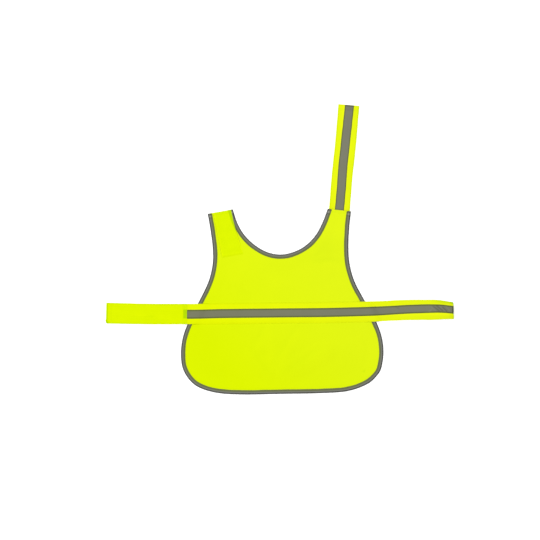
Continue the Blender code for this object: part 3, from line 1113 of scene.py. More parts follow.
@dataclass
class BackPanel:
    """The bib-shaped panel of one layer of knitted polyester."""

    vest: LaidVest
    step: float = 2.3
    thickness: float = 0.6
    raw_edge: float = 2.6
    rest_height: float = 0.5
    bare_from: float = 22.0
    crease_at_seam: float = 0.25
    slack: tuple[Wave, Wave] = (Wave(0.22, 96.0, 1.3), Wave(0.18, 71.0, 2.9))
    gathers: Wave = Wave(0.10, 8.5, 0.3)
    gathers_start: Step = Step(1.0, 7.0, 9.5)
    gathers_fade: Step = Step(1.0, 19.0, 9.5)
    lowest: float = -0.15
    lowest_share: float = 0.6
    edge_roll: tuple[float, float] = (0.9, 2.4)
    fold_light: Spot = Spot(0.09, 0.0, 1.6)
    fold_shade: Spot = Spot(-0.07, 4.6, 1.1)
    belt_light: Spot = Spot(0.045, 22.0, 1.8)
    shoulder_shade: tuple[Spot, Spot] = (Spot(-0.045, 92.0, 38.0), Spot(1.0, 4.0, 26.0))
    hem_mark: tuple[Spot, Spot] = (Spot(-0.16, 169.0, 2.0), Spot(1.0, -243.6, 2.0))
    # Painted shade in the creases' troughs and painted light on their ridges
    crease_shading: float = 0.03

    def middle(self, places: Places) -> Array:
        """The height halfway through the panel's cloth.

        Args:
            places: The x and y of each place.

        Returns:
            The heights.
        """
        x, y = places.T
        under = self.vest.panel_under(places)
        bare = self.vest.clear_of_seams(places, self.bare_from)
        creases = self.vest.creases(places) * (self.crease_at_seam + (1.0 - self.crease_at_seam) * bare)
        seam = np.minimum(self.vest.neck_depth(places), self.vest.edge_depth(places))
        gathers = self.gathers.at(0.8 * x - 0.6 * y) * self.gathers_start.at(seam) * self.gathers_fade.at(seam)
        slack = self.slack[0].at(x + 0.4 * y) + self.slack[1].at(y - 0.3 * x) + gathers / np.maximum(bare, 0.05)
        raised = np.maximum(creases + slack * bare, self.lowest - under * self.lowest_share)
        return under + self.rest_height + raised - roll(self.vest.shoulder_gap(places), *self.edge_roll)

    def tone(self, places: Places) -> Array:
        """How much lighter or darker the cloth is: painted shade and highlights in its creases, at its shoulder folds
        and beside the belt, and a small mark near the hem.

        Args:
            places: The x and y of each place.

        Returns:
            What is added to the tone at each place.
        """
        x, y = places.T
        shoulder = self.vest.shoulder_gap(places)
        fold = self.fold_light.at(shoulder) + self.fold_shade.at(shoulder)
        belt = self.belt_light.at(np.abs(self.vest.belt.across_x(x) - y))
        # Painted shade at the right shoulder, and a small real mark near the hem
        marks = product(self.shoulder_shade, x, y) + product(self.hem_mark, x, y)
        return fold + belt + marks + self.crease_shading * np.clip(self.vest.creases(places), -1.0, 0.6)

    def cut(self, mesh: bmesh.types.BMesh) -> None:
        """Cuts a grid to the panel: under its bindings, and along its shoulders.

        Args:
            mesh: The flat grid.
        """
        centres = np.array([face.calc_center_median().xy for face in mesh.faces])
        depth = np.minimum(self.vest.neck_depth(centres), self.vest.edge_depth(centres))
        outside = [face for face, deep in zip(mesh.faces, depth) if deep < self.raw_edge]
        bmesh.ops.delete(mesh, geom=outside, context="FACES")
        for end, side in ((0, 1.0), (-1, -1.0)):
            neck, outer = Vector((*NECKLINE[end], 0.0)), Vector((*OUTER_EDGE[end], 0.0))
            up = Vector((-(outer - neck).y, (outer - neck).x, 0.0)).normalized() * -side
            near = [vert for vert in mesh.verts if (vert.co.x < 0.0) == (end == 0)]
            edges = {edge for vert in near for edge in vert.link_edges}
            faces = {face for vert in near for face in vert.link_faces}
            bmesh.ops.bisect_plane(mesh, geom=[*near, *edges, *faces], plane_co=neck, plane_no=up, clear_outer=True)

    def build(self, wardrobe: Wardrobe) -> bpy.types.Object:
        """Makes the panel.

        Args:
            wardrobe: The materials.

        Returns:
            The panel.
        """
        spans = (-200.0, 210.0), (-292.0, 84.0)
        sheet = ClothSheet("back_panel_cloth", Slot.PANEL, *spans, (self.step, self.step), self.thickness)
        mesh = sheet.grid()
        self.cut(mesh)
        flat = np.array([vert.co.xy for vert in mesh.verts])
        for vert, height in zip(mesh.verts, self.middle(flat)):
            vert.co = Vector((vert.co.x, vert.co.y, height)) * MM
        area = sum(face.calc_area() for face in mesh.faces)
        piece = sheet.finish(mesh, wardrobe, {"tone": self.tone(flat)})
        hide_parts("back_panel")
        log.info("%s: %.4f square metres", piece.name, area)
        return piece


@dataclass
class Binding:
    """A strip folded round a raw edge, with its stitch row and puckers.

    The strip is measured from minus half its width, at its lower leg's free edge, by 0 at the fold.
    """

    vest: LaidVest
    panel: BackPanel
    name: str
    node: str
    round_neck: bool
    fold_shade: float
    thickness: float = 0.5
    step: tuple[float, float] = (1.6, 0.72)
    half_strip: float = 10.0
    flat_width: float = 0.0205
    width: float = 8.55
    inset: float = -0.05
    crown: float = 3.25
    turn_share: float = 0.2
    turn_depth: float = 1.45
    turn_room: float = 1.7
    clearance: float = 0.05
    swell: float = 0.25
    stitch_in: float = 1.4
    stitch_dip: Spot = Spot(0.22, 0.0, 0.7)
    end_roll: tuple[float, float] = (1.3, 2.6)
    crown_span: tuple[float, float] = (1.0, 0.35)
    opens: tuple[float, float] = (0.0, 0.3)
    fold_span: tuple[float, float] = (3.2, 1.8)
    beside_fold: tuple[float, float] = (5.0, 2.5)
    lower_leg: float = 0.28
    edge_wave: Wave = Wave(0.22, 43.0, 3.1)
    slant: float = 0.9
    small_puckers: tuple[Wave, Wave] = (Wave(0.07, 6.1, 0.7), Wave(0.05, 17.0, 2.2))
    bend_puckers: Wave = Wave(0.3, 7.6, 1.9)
    pucker_shading: Wave = Wave(0.06, 7.6, 1.9)
    bend_span: float = 9.0
    bend_radius: float = 40.0
    tight_bend: Step = Step(1.0, 0.35, 1.1)
    face_tone: float = -0.08
    inner_edge_shade: Step = Step(-0.50, 4.2, 5.4)
    inner_yellow: Step = Step(0.17, 4.2, 5.4)
    end_shades: tuple[Spot, Spot] = (Spot(-0.36, 2.3, 1.3), Spot(-0.28, 9.3, 1.1))
    glint: tuple[Spot, Spot] = (Spot(0.75, 5.9, 1.4), Spot(1.0, 4.2, 2.4))
    patch_shade: Spot = Spot(-0.3, 14.0, 8.0)
    darkest: float = -0.75

    @property
    def line(self) -> SmoothLine:
        """The line that the binding runs along."""
        return self.vest.neck if self.round_neck else self.vest.edge

    def from_end(self, distance: Array) -> Array:
        """How far distances lie from the nearer end of the binding."""
        return np.minimum(distance, self.line.length - distance)

    def inward(self, distance: Array) -> Places:
        """Finds the way into the panel, turned at the ends to follow the shoulder's fold.

        Args:
            distance: Distances along the binding.

        Returns:
            The x and y of each way in.
        """
        line, other = self.line, (self.vest.edge if self.round_neck else self.vest.neck)
        way = line.left(distance) * (-1.0 if self.round_neck else 1.0)
        first = (distance < line.length / 2)[:, None]
        ends = np.where(first, line.points[0], line.points[-1])
        far = np.where(first, other.points[0], other.points[-1])
        cut = (far - ends) / np.hypot(*(far - ends).T)[:, None]
        return way + (cut - way) * ramp(self.from_end(distance), 2 * self.width, 0.0)[:, None]

    def tight(self, distance: Array) -> Array:
        """How tightly the edge bends, from 0 where it is nearly straight to 1.

        Args:
            distance: Distances along the binding.

        Returns:
            The tightness at each distance.
        """
        turn = self.line.left(distance + self.bend_span) - self.line.left(distance - self.bend_span)
        bend = np.hypot(*turn.T) / (2 * self.bend_span) * self.bend_radius
        return self.tight_bend.at(np.clip(bend, 0.0, 1.3))

    def pucker(self, distance: Array, inside: Array) -> Array:
        """The height of the small slanting puckers, at distances in from the outer edge.

        Args:
            distance: Distances along the binding.
            inside: Distances in from the outer edge.

        Returns:
            The heights.
        """
        slant = distance + self.slant * inside
        small = sum(wave.at(slant) for wave in self.small_puckers)
        return small + self.bend_puckers.at(slant) * self.tight(distance) * ramp(inside, 0.0, 5.0)

    def lay(self, distance: Array, around: Array) -> Array:
        """Lays the strip round the edge.

        Args:
            distance: Distances along the binding.
            around: Places across the strip.

        Returns:
            The x, y and z of each place.
        """
        half_wall, leg = self.thickness / 2, np.abs(around) / self.half_strip
        turned = self.turn_depth * (1.0 - np.sqrt(np.clip(1.0 - (leg / self.turn_share) ** 2, 0.0, 1.0)))
        share = (leg - self.turn_share) / (1.0 - self.turn_share)
        straight = self.turn_depth + share * (self.width - self.turn_room)
        inside = half_wall + np.where(leg < self.turn_share, turned, straight)
        inside = inside + self.inset + self.edge_wave.at(distance) * leg
        flat = self.line.at(distance) + self.inward(distance) * inside[:, None]
        lift = self.vest.tail_lift(flat)
        panel = self.panel.middle(flat) + self.panel.thickness / 2 + half_wall + self.clearance
        swell = self.swell * np.sin(np.pi * np.clip((leg - 0.16) / 0.84, 0.0, 1.0)) ** 0.8
        crown = lift + self.crown - half_wall
        top = np.where(leg > self.turn_share, panel + (crown - panel) * ramp(leg, *self.crown_span) + swell, crown)
        top = top + self.pucker(distance, inside) - self.stitch_dip.at(self.width - self.stitch_in - inside)
        top = top - roll(self.from_end(distance), *self.end_roll)
        low = np.maximum(lift + self.lower_leg + half_wall, half_wall + 0.02)
        middle = (crown + low) / 2
        opened = np.sqrt(ramp(leg, *self.opens))
        return np.column_stack([flat, middle + (np.where(around > 0.0, top, low) - middle) * opened])

    def depth_in(self, distance: Array, around: Array) -> Array:
        """How far places of the strip lie in from the panel's edge."""
        away = self.lay(distance, around)[:, :2] - self.line.at(distance)
        return np.abs((away * self.inward(distance)).sum(axis=1))

    def tone(self, distance: Array, around: Array) -> Array:
        """How much darker the strip is: painted shade at its fold, its inner edge, its ends and its puckers, and
        painted glints at its ends.

        Args:
            distance: Distances along the binding.
            around: Places across the strip.

        Returns:
            What is added to the tone at each place.
        """
        inside, end = self.depth_in(distance, around), self.from_end(distance)
        # Painted shade on the rounded outer edge and along the inner edge
        edges = self.face_tone - self.fold_shade * ramp(inside, *self.fold_span) + self.inner_edge_shade.at(inside)
        # Painted shade on the folded ends' ridge and groove, with a painted glint between them
        ends = sum(mark.at(end) for mark in self.end_shades) + product(self.glint, end, inside)
        # Painted light and shade on the puckers at tight bends
        slant = self.pucker_shading.at(distance + self.slant * np.abs(around)) * self.tight(distance)
        beside_patch = self.round_neck * self.patch_shade.at(distance) * ramp(inside, *self.beside_fold)
        return np.maximum(edges + ends + slant + beside_patch, self.darkest) * (around > 0.0)

    def shows(self, distance: Array, around: Array) -> Array:
        """Where the panel's yellow shows in the strip's inner edge."""
        return self.inner_yellow.at(self.depth_in(distance, around)) * (around > 0.0)

    def build(self, wardrobe: Wardrobe, stitches: StitchRows) -> bpy.types.Object:
        """Folds the strip and sews it.

        Args:
            wardrobe: The materials.
            stitches: The grey rows that this binding adds to.

        Returns:
            The binding.
        """
        length, strip = self.line.length, (-self.half_strip, self.half_strip)
        sheet = ClothSheet(self.name, Slot.BINDING, (0.0, length), strip, self.step, self.thickness)
        paint = {"tone": self.tone, "show_through": self.shows}
        flat = (self.flat_width, round(length * MM, 3))
        piece = sheet.dress(self.node, "back_panel_cloth", self.lay, wardrobe, paint, flat=flat, held="folded")
        share = (self.width - self.stitch_in - self.turn_room) / (self.width - self.turn_room)
        row = self.half_strip * (self.turn_share + (1.0 - self.turn_share) * share)
        stitches.row(row_along(self.lay, row, self.thickness / 2), 1.0, length - 1.0)
        return piece


@dataclass
class TapedStrap:
    """A strap with reflective tape on its face and hook tape under its free end."""

    vest: LaidVest
    step: tuple[float, float] = (2.0, 1.6)
    thickness: float = 1.05
    tape_thickness: float = 0.36
    hook_thickness: float = 1.15
    soft_edge: float = 0.3
    tape_edge: float = 0.1
    hook_edge: float = 0.2
    clearance: float = 0.02
    hook_drop: float = 1.17
    hook_margin: float = 1.0
    wavy_from: float = 14.0
    edge_wave: Wave = Wave(0.12, 38.0, 1.1)
    tape_wave: Wave = Wave(0.05, 9.0, 0.2)
    edge_row: float = 18.5
    row_width: float = 0.8
    tape_row: float = 7.7
    tape_dip: Spot = Spot(0.10, 7.7, 0.6)
    # Painted highlight on the webbing beside the tape's edges
    beside_tape_light: Step = Step(0.08, 11.5, 9.5)
    # Painted shade along the tape's edges
    tape_edge_shade: Step = Step(-0.70, 5.6, 7.0)
    tape_yellow: Step = Step(0.19, 5.6, 7.0)

    @property
    def half(self) -> float:
        """Half the strap's width."""
        return self.vest.layers.tape_width / 2

    @property
    def film(self) -> float:
        """Half the reflective tape's width."""
        return self.vest.layers.reflective_width / 2

    def edge_shift(self, along: Array, across: Array) -> Array:
        """How far the strap's uneven edges lie to the side."""
        return np.sign(across) * ramp(np.abs(across), self.wavy_from, self.half) * self.edge_wave.at(along)

    def tape_lift(self, along: Array, across: Array) -> Array:
        """The height of the tape's middle over the strap's: wavy at its edges and drawn in by its rows.

        Args:
            along: Places along the strap.
            across: Places across it.

        Returns:
            The heights.
        """
        lift = self.thickness / 2 + self.clearance + self.tape_thickness / 2
        wave = self.tape_wave.at(along) * ramp(np.abs(across), self.film / 2, self.film)
        return lift + wave - self.tape_dip.at(np.abs(across))

    def tape_shows(self, along: Array, across: Array) -> Array:
        """Where the strap's yellow shows in the tape's edges."""
        return self.tape_yellow.at(np.abs(across))


@dataclass
class BellyBelt(TapedStrap):
    """The belt with its reflective tape, loop patch and hook patch."""

    start: float = -347.0
    end: float = 347.8
    loop_end: float = -184.9
    tape_start: float = -190.7
    hook_start: float = 238.0
    hook_short: float = 3.2
    loop_thickness: float = 1.1
    curl_flat: float = 2.0
    lower_draw: Step = Step(2.0, 300.0, 352.0)
    on_cloth: Step = Step(1.0, 2.0, 14.0)
    edge_sunk: Spot = Spot(0.62, 20.25, 2.4)
    row_dip: float = 0.06
    row_puckers: Wave = Wave(0.5, 6.6, 0.4)
    corner_out: tuple[Spot, Step] = (Spot(0.9, -14.5, 1.7), Step(1.0, 6.0, 0.0))
    corner_cut: tuple[Step, Step] = (Step(1.6, -17.9, -20.2), Step(1.0, 4.0, 0.0))
    end_shear: Step = Step(0.025, 20.0, 0.0)
    loop_part: Step = Step(1.0, -185.0, -200.0)
    wide_curl: Step = Step(0.8, 296.0, 320.0)
    wide_end: Step = Step(0.4, -240.0, -330.0)
    wide_loop: tuple[float, float] = (0.2, 0.3)
    wide_on_panel: float = 0.7
    widens_from: tuple[float, float] = (15.0, 10.0)
    end_tuck: tuple[Step, Step] = (Step(1.0, -10.5, -8.5), Step(1.0, -9.0, 0.0))
    start_roll: tuple[float, float] = (0.35, 2.2)
    end_roll: tuple[float, float] = (1.1, 3.6)
    under_loop: Step = Step(0.3, 2.0, -1.0)
    tape_slack: Wave = Wave(0.04, 31.0, 1.7)
    tape_narrows: tuple[Step, ...] = (Step(0.03, 190.0, 230.0), Step(0.055, 280.0, 318.0), Step(0.035, 318.0, 340.0))
    tape_end_shade: Step = Step(-0.13, 300.0, 322.0)
    # Painted shade of the tape's folded end
    tape_fold_shade: Step = Step(-0.68, -3.6, -2.2)
    darkest: float = -0.8
    upper_edge_shade: Step = Step(-0.02, 17.6, 19.0)
    lower_edge_light: Step = Step(0.06, 18.4, 19.6)
    end_hem_shade: tuple[Step, Step] = (Step(-0.07, -11.0, -7.0), Step(-0.12, -3.6, -1.0))
    corner_shade: tuple[Step, Step] = (Step(-0.22, 11.5, 17.5), Step(1.0, -8.0, -3.0))
    curl_shade: tuple[Step, Step] = (Step(-0.17, 298.0, 326.0), Step(1.0, 12.0, 15.5))
    pile: tuple[Wave, Wave] = (Wave(0.06, 3.1, ROW_WIDTH), Wave(1.0, 2.6, 2.1))
    streaks: tuple[Wave, Wave] = (Wave(0.016, 3.7, 0.5), Wave(0.012, 147.0, 1.2))
    smudge_tone: tuple[Spot, Spot] = (Spot(-0.06, -257.6, 9.0), Spot(1.0, -4.5, 1.8))
    smudge_dip: tuple[Spot, Spot] = (Spot(0.12, -257.6, 7.0), Spot(1.0, -4.5, 2.2))
    selvedge_shade: Step = Step(-0.05, -10.2, -8.4)
    selvedge_drop: Step = Step(0.45, -8.8, -5.3)
    selvedge_shows: tuple[Step, Step] = (Step(1.0, 9.5, 8.6), Step(1.0, -8.4, -7.2))
    loop_row: float = 18.3
    hem_row: float = 10.2
    loop_row_dip: float = 0.16
    loop_end_shade: Spot = Spot(-0.34, 2.2, 1.1)
    loop_corner_shade: tuple[Step, Step] = (Step(-0.22, 7.5, 1.0), Step(1.0, -13.5, -17.5))
    loop_edge_shade: Step = Step(-0.10, 17.9, 19.3)
    hem_shade: Spot = Spot(-0.03, 10.2, 1.1)

    def drop(self, x: Array, across: Array) -> tuple[Array, Array]:
        """Measures the curl of the right end.

        Args:
            x: Places along the belt.
            across: Places across it.

        Returns:
            How far each place is lowered, and how far it reaches to the side.
        """
        rows = np.array(BELT_CURL)
        droop = np.where(across > 0, *(np.interp(x, rows[:, 0], rows[:, side]) for side in (1, 2)))
        droop = np.maximum(np.radians(droop), 1e-4)
        radius = (self.half - self.curl_flat) / droop
        bent = np.maximum(np.abs(across) - self.curl_flat, 0.0)
        reach = np.minimum(np.abs(across), self.curl_flat) + radius * np.sin(bent / radius)
        return radius * (1.0 - np.cos(bent / radius)), reach

    def middle(self, x: Array, across: Array) -> Array:
        """The x, y and z halfway through the belt's wall.

        Args:
            x: Places along the belt.
            across: Places across it.

        Returns:
            The x, y and z of each place.
        """
        layers, side = self.vest.layers, np.full(len(x), self.half)
        lowered, reach = self.drop(x, across)
        lowest = np.maximum(self.drop(x, side)[0], self.drop(x, -side)[0])
        reach = reach - np.where(across < 0, self.lower_draw.at(x) * np.abs(across) / self.half, 0.0)
        y = self.vest.belt.across_x(x) + np.copysign(reach, across)
        hook = layers.layer * ramp(x, self.hook_start - layers.strap_settle, self.hook_start - self.hook_margin)
        high = self.vest.over_vest(np.column_stack([x, y])) + hook + lowest - lowered
        return np.column_stack([x, y, high + layers.wall / 2])

    def raised(self, x: Array, across: Array, lift: float | Array) -> Array:
        """Places at a height over the belt's middle, square to its surface.

        Args:
            x: Places along the belt.
            across: Places across it.
            lift: The height over the middle.

        Returns:
            The x, y and z of each place.
        """
        along = self.middle(x + PROBE, across) - self.middle(x - PROBE, across)
        beside = self.middle(x, across + PROBE) - self.middle(x, across - PROBE)
        normal = np.cross(along, beside)
        normal /= np.linalg.norm(normal, axis=1)[:, None]
        return self.middle(x, across) + normal * np.broadcast_to(lift, len(x))[:, None]

    def on_panel(self, x: Array, across: float | Array = 0.0) -> Array:
        """Where the belt lies on the panel, from 0 to 1."""
        places = np.column_stack([x, self.vest.belt.across_x(x) + across])
        return self.on_cloth.at(self.vest.edge_depth(places))

    def sewn_down(self, x: Array, across: Array) -> Array:
        """How far the belt's edges are drawn down to the panel by their stitches."""
        row = self.row_dip * bump(np.abs(across), self.edge_row, self.row_width)
        return self.on_panel(x, across) * self.edge_sunk.at(np.abs(across)) + row * (1.0 + self.row_puckers.at(x))

    def tucked(self, x: Array, across: float | Array = 0.0) -> Array:
        """How far the right end lies back from its lower side."""
        return product(self.end_tuck, across, x - self.end)

    def edges(self, x: Array, across: Array) -> tuple[Array, Array]:
        """Gives the belt's ends and edges their small unevenness.

        Args:
            x: Places along the belt.
            across: Places across it.

        Returns:
            The shifted places along and across.
        """
        from_start, loop_part = x - self.start, self.loop_part.at(x)
        corner = product(self.corner_out, across, from_start)
        cut = product(self.corner_cut, across, from_start)
        upper = self.wide_curl.at(x) + (self.wide_loop[0] + self.wide_end.at(x)) * loop_part
        lower = self.wide_on_panel * self.on_panel(x) + self.wide_loop[1] * loop_part
        shifted = across + self.edge_shift(x, across)
        low, high = self.widens_from
        shifted = shifted - lower * ramp(-across, low, self.half) + upper * ramp(across, high, self.half)
        return x - corner + cut + across * self.end_shear.at(from_start) - self.tucked(x, across), shifted

    def rolled(self, x: Array) -> Array:
        """How far the folded ends of the belt roll down."""
        return roll(x - self.start, *self.start_roll) + roll(self.end - x, *self.end_roll)

    def lay_belt(self, x: Array, across: Array) -> Array:
        """Lays the belt itself.

        Args:
            x: Places along the belt.
            across: Places across it.

        Returns:
            The x, y and z of each place.
        """
        places = self.raised(*self.edges(x, across), 0.0)
        places[:, 2] -= self.sewn_down(x, across) + self.rolled(x)
        places[:, 2] = np.maximum(places[:, 2], self.thickness / 2 + 0.01)
        return places

    def wrinkles(self, x: Array, across: Array) -> Array:
        """The height of the short slanting creases near the tape's right end."""
        return sum(lift for _, lift in ridge_lifts(np.column_stack([x, across]), TAPE_CREASES))

    def lay_tape(self, x: Array, across: Array) -> Array:
        """Lays the reflective tape on the belt.

        Args:
            x: Places along the belt.
            across: Places across it.

        Returns:
            The x, y and z of each place.
        """
        narrow = sum(step.at(x) for step in self.tape_narrows)
        drawn = across * (1.0 - narrow) + np.interp(x, *TAPE_SHIFT)
        lift = self.tape_lift(x, across) + self.tape_slack.at(x) + self.wrinkles(x, across)
        places = self.raised(x - self.tucked(x), drawn, lift - self.under_loop.at(x - self.loop_end))
        places[:, 2] -= self.sewn_down(x, drawn) + self.rolled(x)
        return places

    def tape_tone(self, x: Array, across: Array) -> Array:
        """How much darker the tape is: painted shade at its edges, its folded end and the belt's curled right end, and
        painted shade and light in its creases.
        """
        end = self.tape_end_shade.at(x) + self.tape_fold_shade.at(x - self.end)
        # The creases' heights are painted as shade in their troughs and light on their ridges
        return np.maximum(self.tape_edge_shade.at(np.abs(across)) + end + self.wrinkles(x, across), self.darkest)

    def belt_tone(self, x: Array, across: Array) -> Array:
        """How much darker the belt is: painted shade at its upper edge, in the folded hem and on the corner and curl of
        its right end, and painted light at its lower edge and beside the tape.

        Args:
            x: Places along the belt.
            across: Places across it.

        Returns:
            What is added to the tone at each place.
        """
        # Painted light at the lower edge and beside the tape, and painted shade at the upper edge
        rim = self.lower_edge_light.at(-across) + self.upper_edge_shade.at(across) + self.beside_tape_light.at(np.abs(across))
        # Painted shade in the folded hem of the right end
        hem = sum(step.at(x - self.end) for step in self.end_hem_shade)
        corner = product(self.corner_shade, across, x - self.end)
        return rim + hem + corner + product(self.curl_shade, x, across)

    def loop_tone(self, x: Array, across: Array) -> Array:
        """How uneven the loop patch's brushed pile is, with painted shade at its end, its corner, its edges and its
        selvedge.

        Args:
            x: Places along the belt.
            across: Places across it.

        Returns:
            What is added to the tone at each place.
        """
        from_start = x - self.start
        streaks = self.streaks[0].at(across + 0.012 * x) + self.streaks[1].at(x + 9.0 * across)
        end = self.loop_end_shade.at(from_start) + self.hem_shade.at(from_start)
        corner = product(self.loop_corner_shade, from_start, across)
        smudge = product(self.smudge_tone, x, across)
        # Painted shade along the edges and at the selvedge
        edges = self.loop_edge_shade.at(np.abs(across)) + self.selvedge_shade.at(x - self.loop_end)
        return streaks + end + corner + edges + smudge

    def lay_loop(self, x: Array, across: Array) -> Array:
        """Lays the loop patch on the belt's left end.

        Args:
            x: Places along the belt.
            across: Places across it.

        Returns:
            The x, y and z of each place.
        """
        pile = product(self.pile, x + 0.7 * across, across - 0.3 * x)
        selvedge = self.selvedge_drop.at(x - self.loop_end)
        rows = np.maximum(bump(np.abs(across), self.loop_row, ROW_WIDTH), bump(x - self.start, self.hem_row, ROW_WIDTH))
        smudge = product(self.smudge_dip, x, across)
        lift = self.thickness / 2 + self.clearance + self.loop_thickness / 2
        lift = lift + pile - selvedge - self.loop_row_dip * rows - smudge
        places = self.raised(*self.edges(x, across), lift)
        places[:, 2] -= self.rolled(x)
        return places

    def loop_shows(self, x: Array, across: Array) -> Array:
        """Where the reflective tape shows through the loop patch's flat selvedge."""
        return product(self.selvedge_shows, np.abs(across), x - self.loop_end)

    def lay_hook(self, x: Array, across: Array) -> Array:
        """Lays the hook patch under the belt's right end."""
        return self.raised(x, across, -self.hook_drop)

    def build(self, wardrobe: Wardrobe, stitches: StitchRows, grey: StitchRows) -> None:
        """Makes the belt and its tapes, and sews them.

        Args:
            wardrobe: The materials.
            stitches: The yellow rows that the belt adds to.
            grey: The grey rows that its tape adds to.
        """
        width, film, fine = (-self.half, self.half), (-self.film, self.film), (0.9, ROW_WIDTH)
        tape_span, hook_span = (self.tape_start, self.end), (self.hook_start, self.end - self.hook_short)
        belt = ClothSheet(
            "belly_belt_cloth", Slot.WEBBING, (self.start, self.end), width, self.step, self.thickness, self.soft_edge
        )
        tape = ClothSheet(
            "belt_reflective_tape", Slot.REFLECTIVE, tape_span, film, (1.6, 1.2), self.tape_thickness, self.tape_edge
        )
        loop = ClothSheet(
            "belt_loop_tape", Slot.LOOP, (self.start, self.loop_end), width, fine, self.loop_thickness, self.soft_edge
        )
        hook = ClothSheet(
            "belt_hook_tape", Slot.HOOK, hook_span, width, self.step, self.hook_thickness, self.hook_edge
        )
        tape_paint = {"tone": self.tape_tone, "show_through": self.tape_shows}
        loop_paint = {"tone": self.loop_tone, "show_through": self.loop_shows}
        belt.dress("belly_belt", "back_panel_cloth", self.lay_belt, wardrobe, {"tone": self.belt_tone})
        tape.dress("belt_tape", belt.name, self.lay_tape, wardrobe, tape_paint)
        loop.dress("belt_loop_patch", belt.name, self.lay_loop, wardrobe, loop_paint)
        hook.dress("belt_hook_patch", "floor", self.lay_hook, wardrobe, {})
        self.sew(stitches, grey)

    def sew(self, stitches: StitchRows, grey: StitchRows) -> None:
        """Sews the belt to the panel, and its tapes to the belt.

        Args:
            stitches: The yellow rows that the belt adds to.
            grey: The grey rows that its tape adds to.
        """
        belt_top, tape_top, loop_top = self.thickness / 2, self.tape_thickness / 2, self.loop_thickness / 2
        for side in (-1.0, 1.0):
            belt_row = row_along(self.lay_belt, self.edge_row * side, belt_top)
            loop_row = row_along(self.lay_loop, self.loop_row * side, loop_top)
            tape_row = row_along(self.lay_tape, self.tape_row * side, tape_top)
            stitches.row(belt_row, self.loop_end + 2.0, self.end - 5.0)
            stitches.row(loop_row, self.start + 3.0, self.loop_end - 8.0)
            grey.row(tape_row, self.loop_end + 3.0, self.end - 5.0)
        left_hem = row_across(self.lay_loop, self.start + self.hem_row, loop_top)
        right_hem = row_across(self.lay_belt, self.end - 7.0, belt_top)
        stitches.row(left_hem, -18.0, 18.0)
        stitches.row(right_hem, -18.5, -9.5)
        stitches.row(right_hem, 9.5, 17.5)


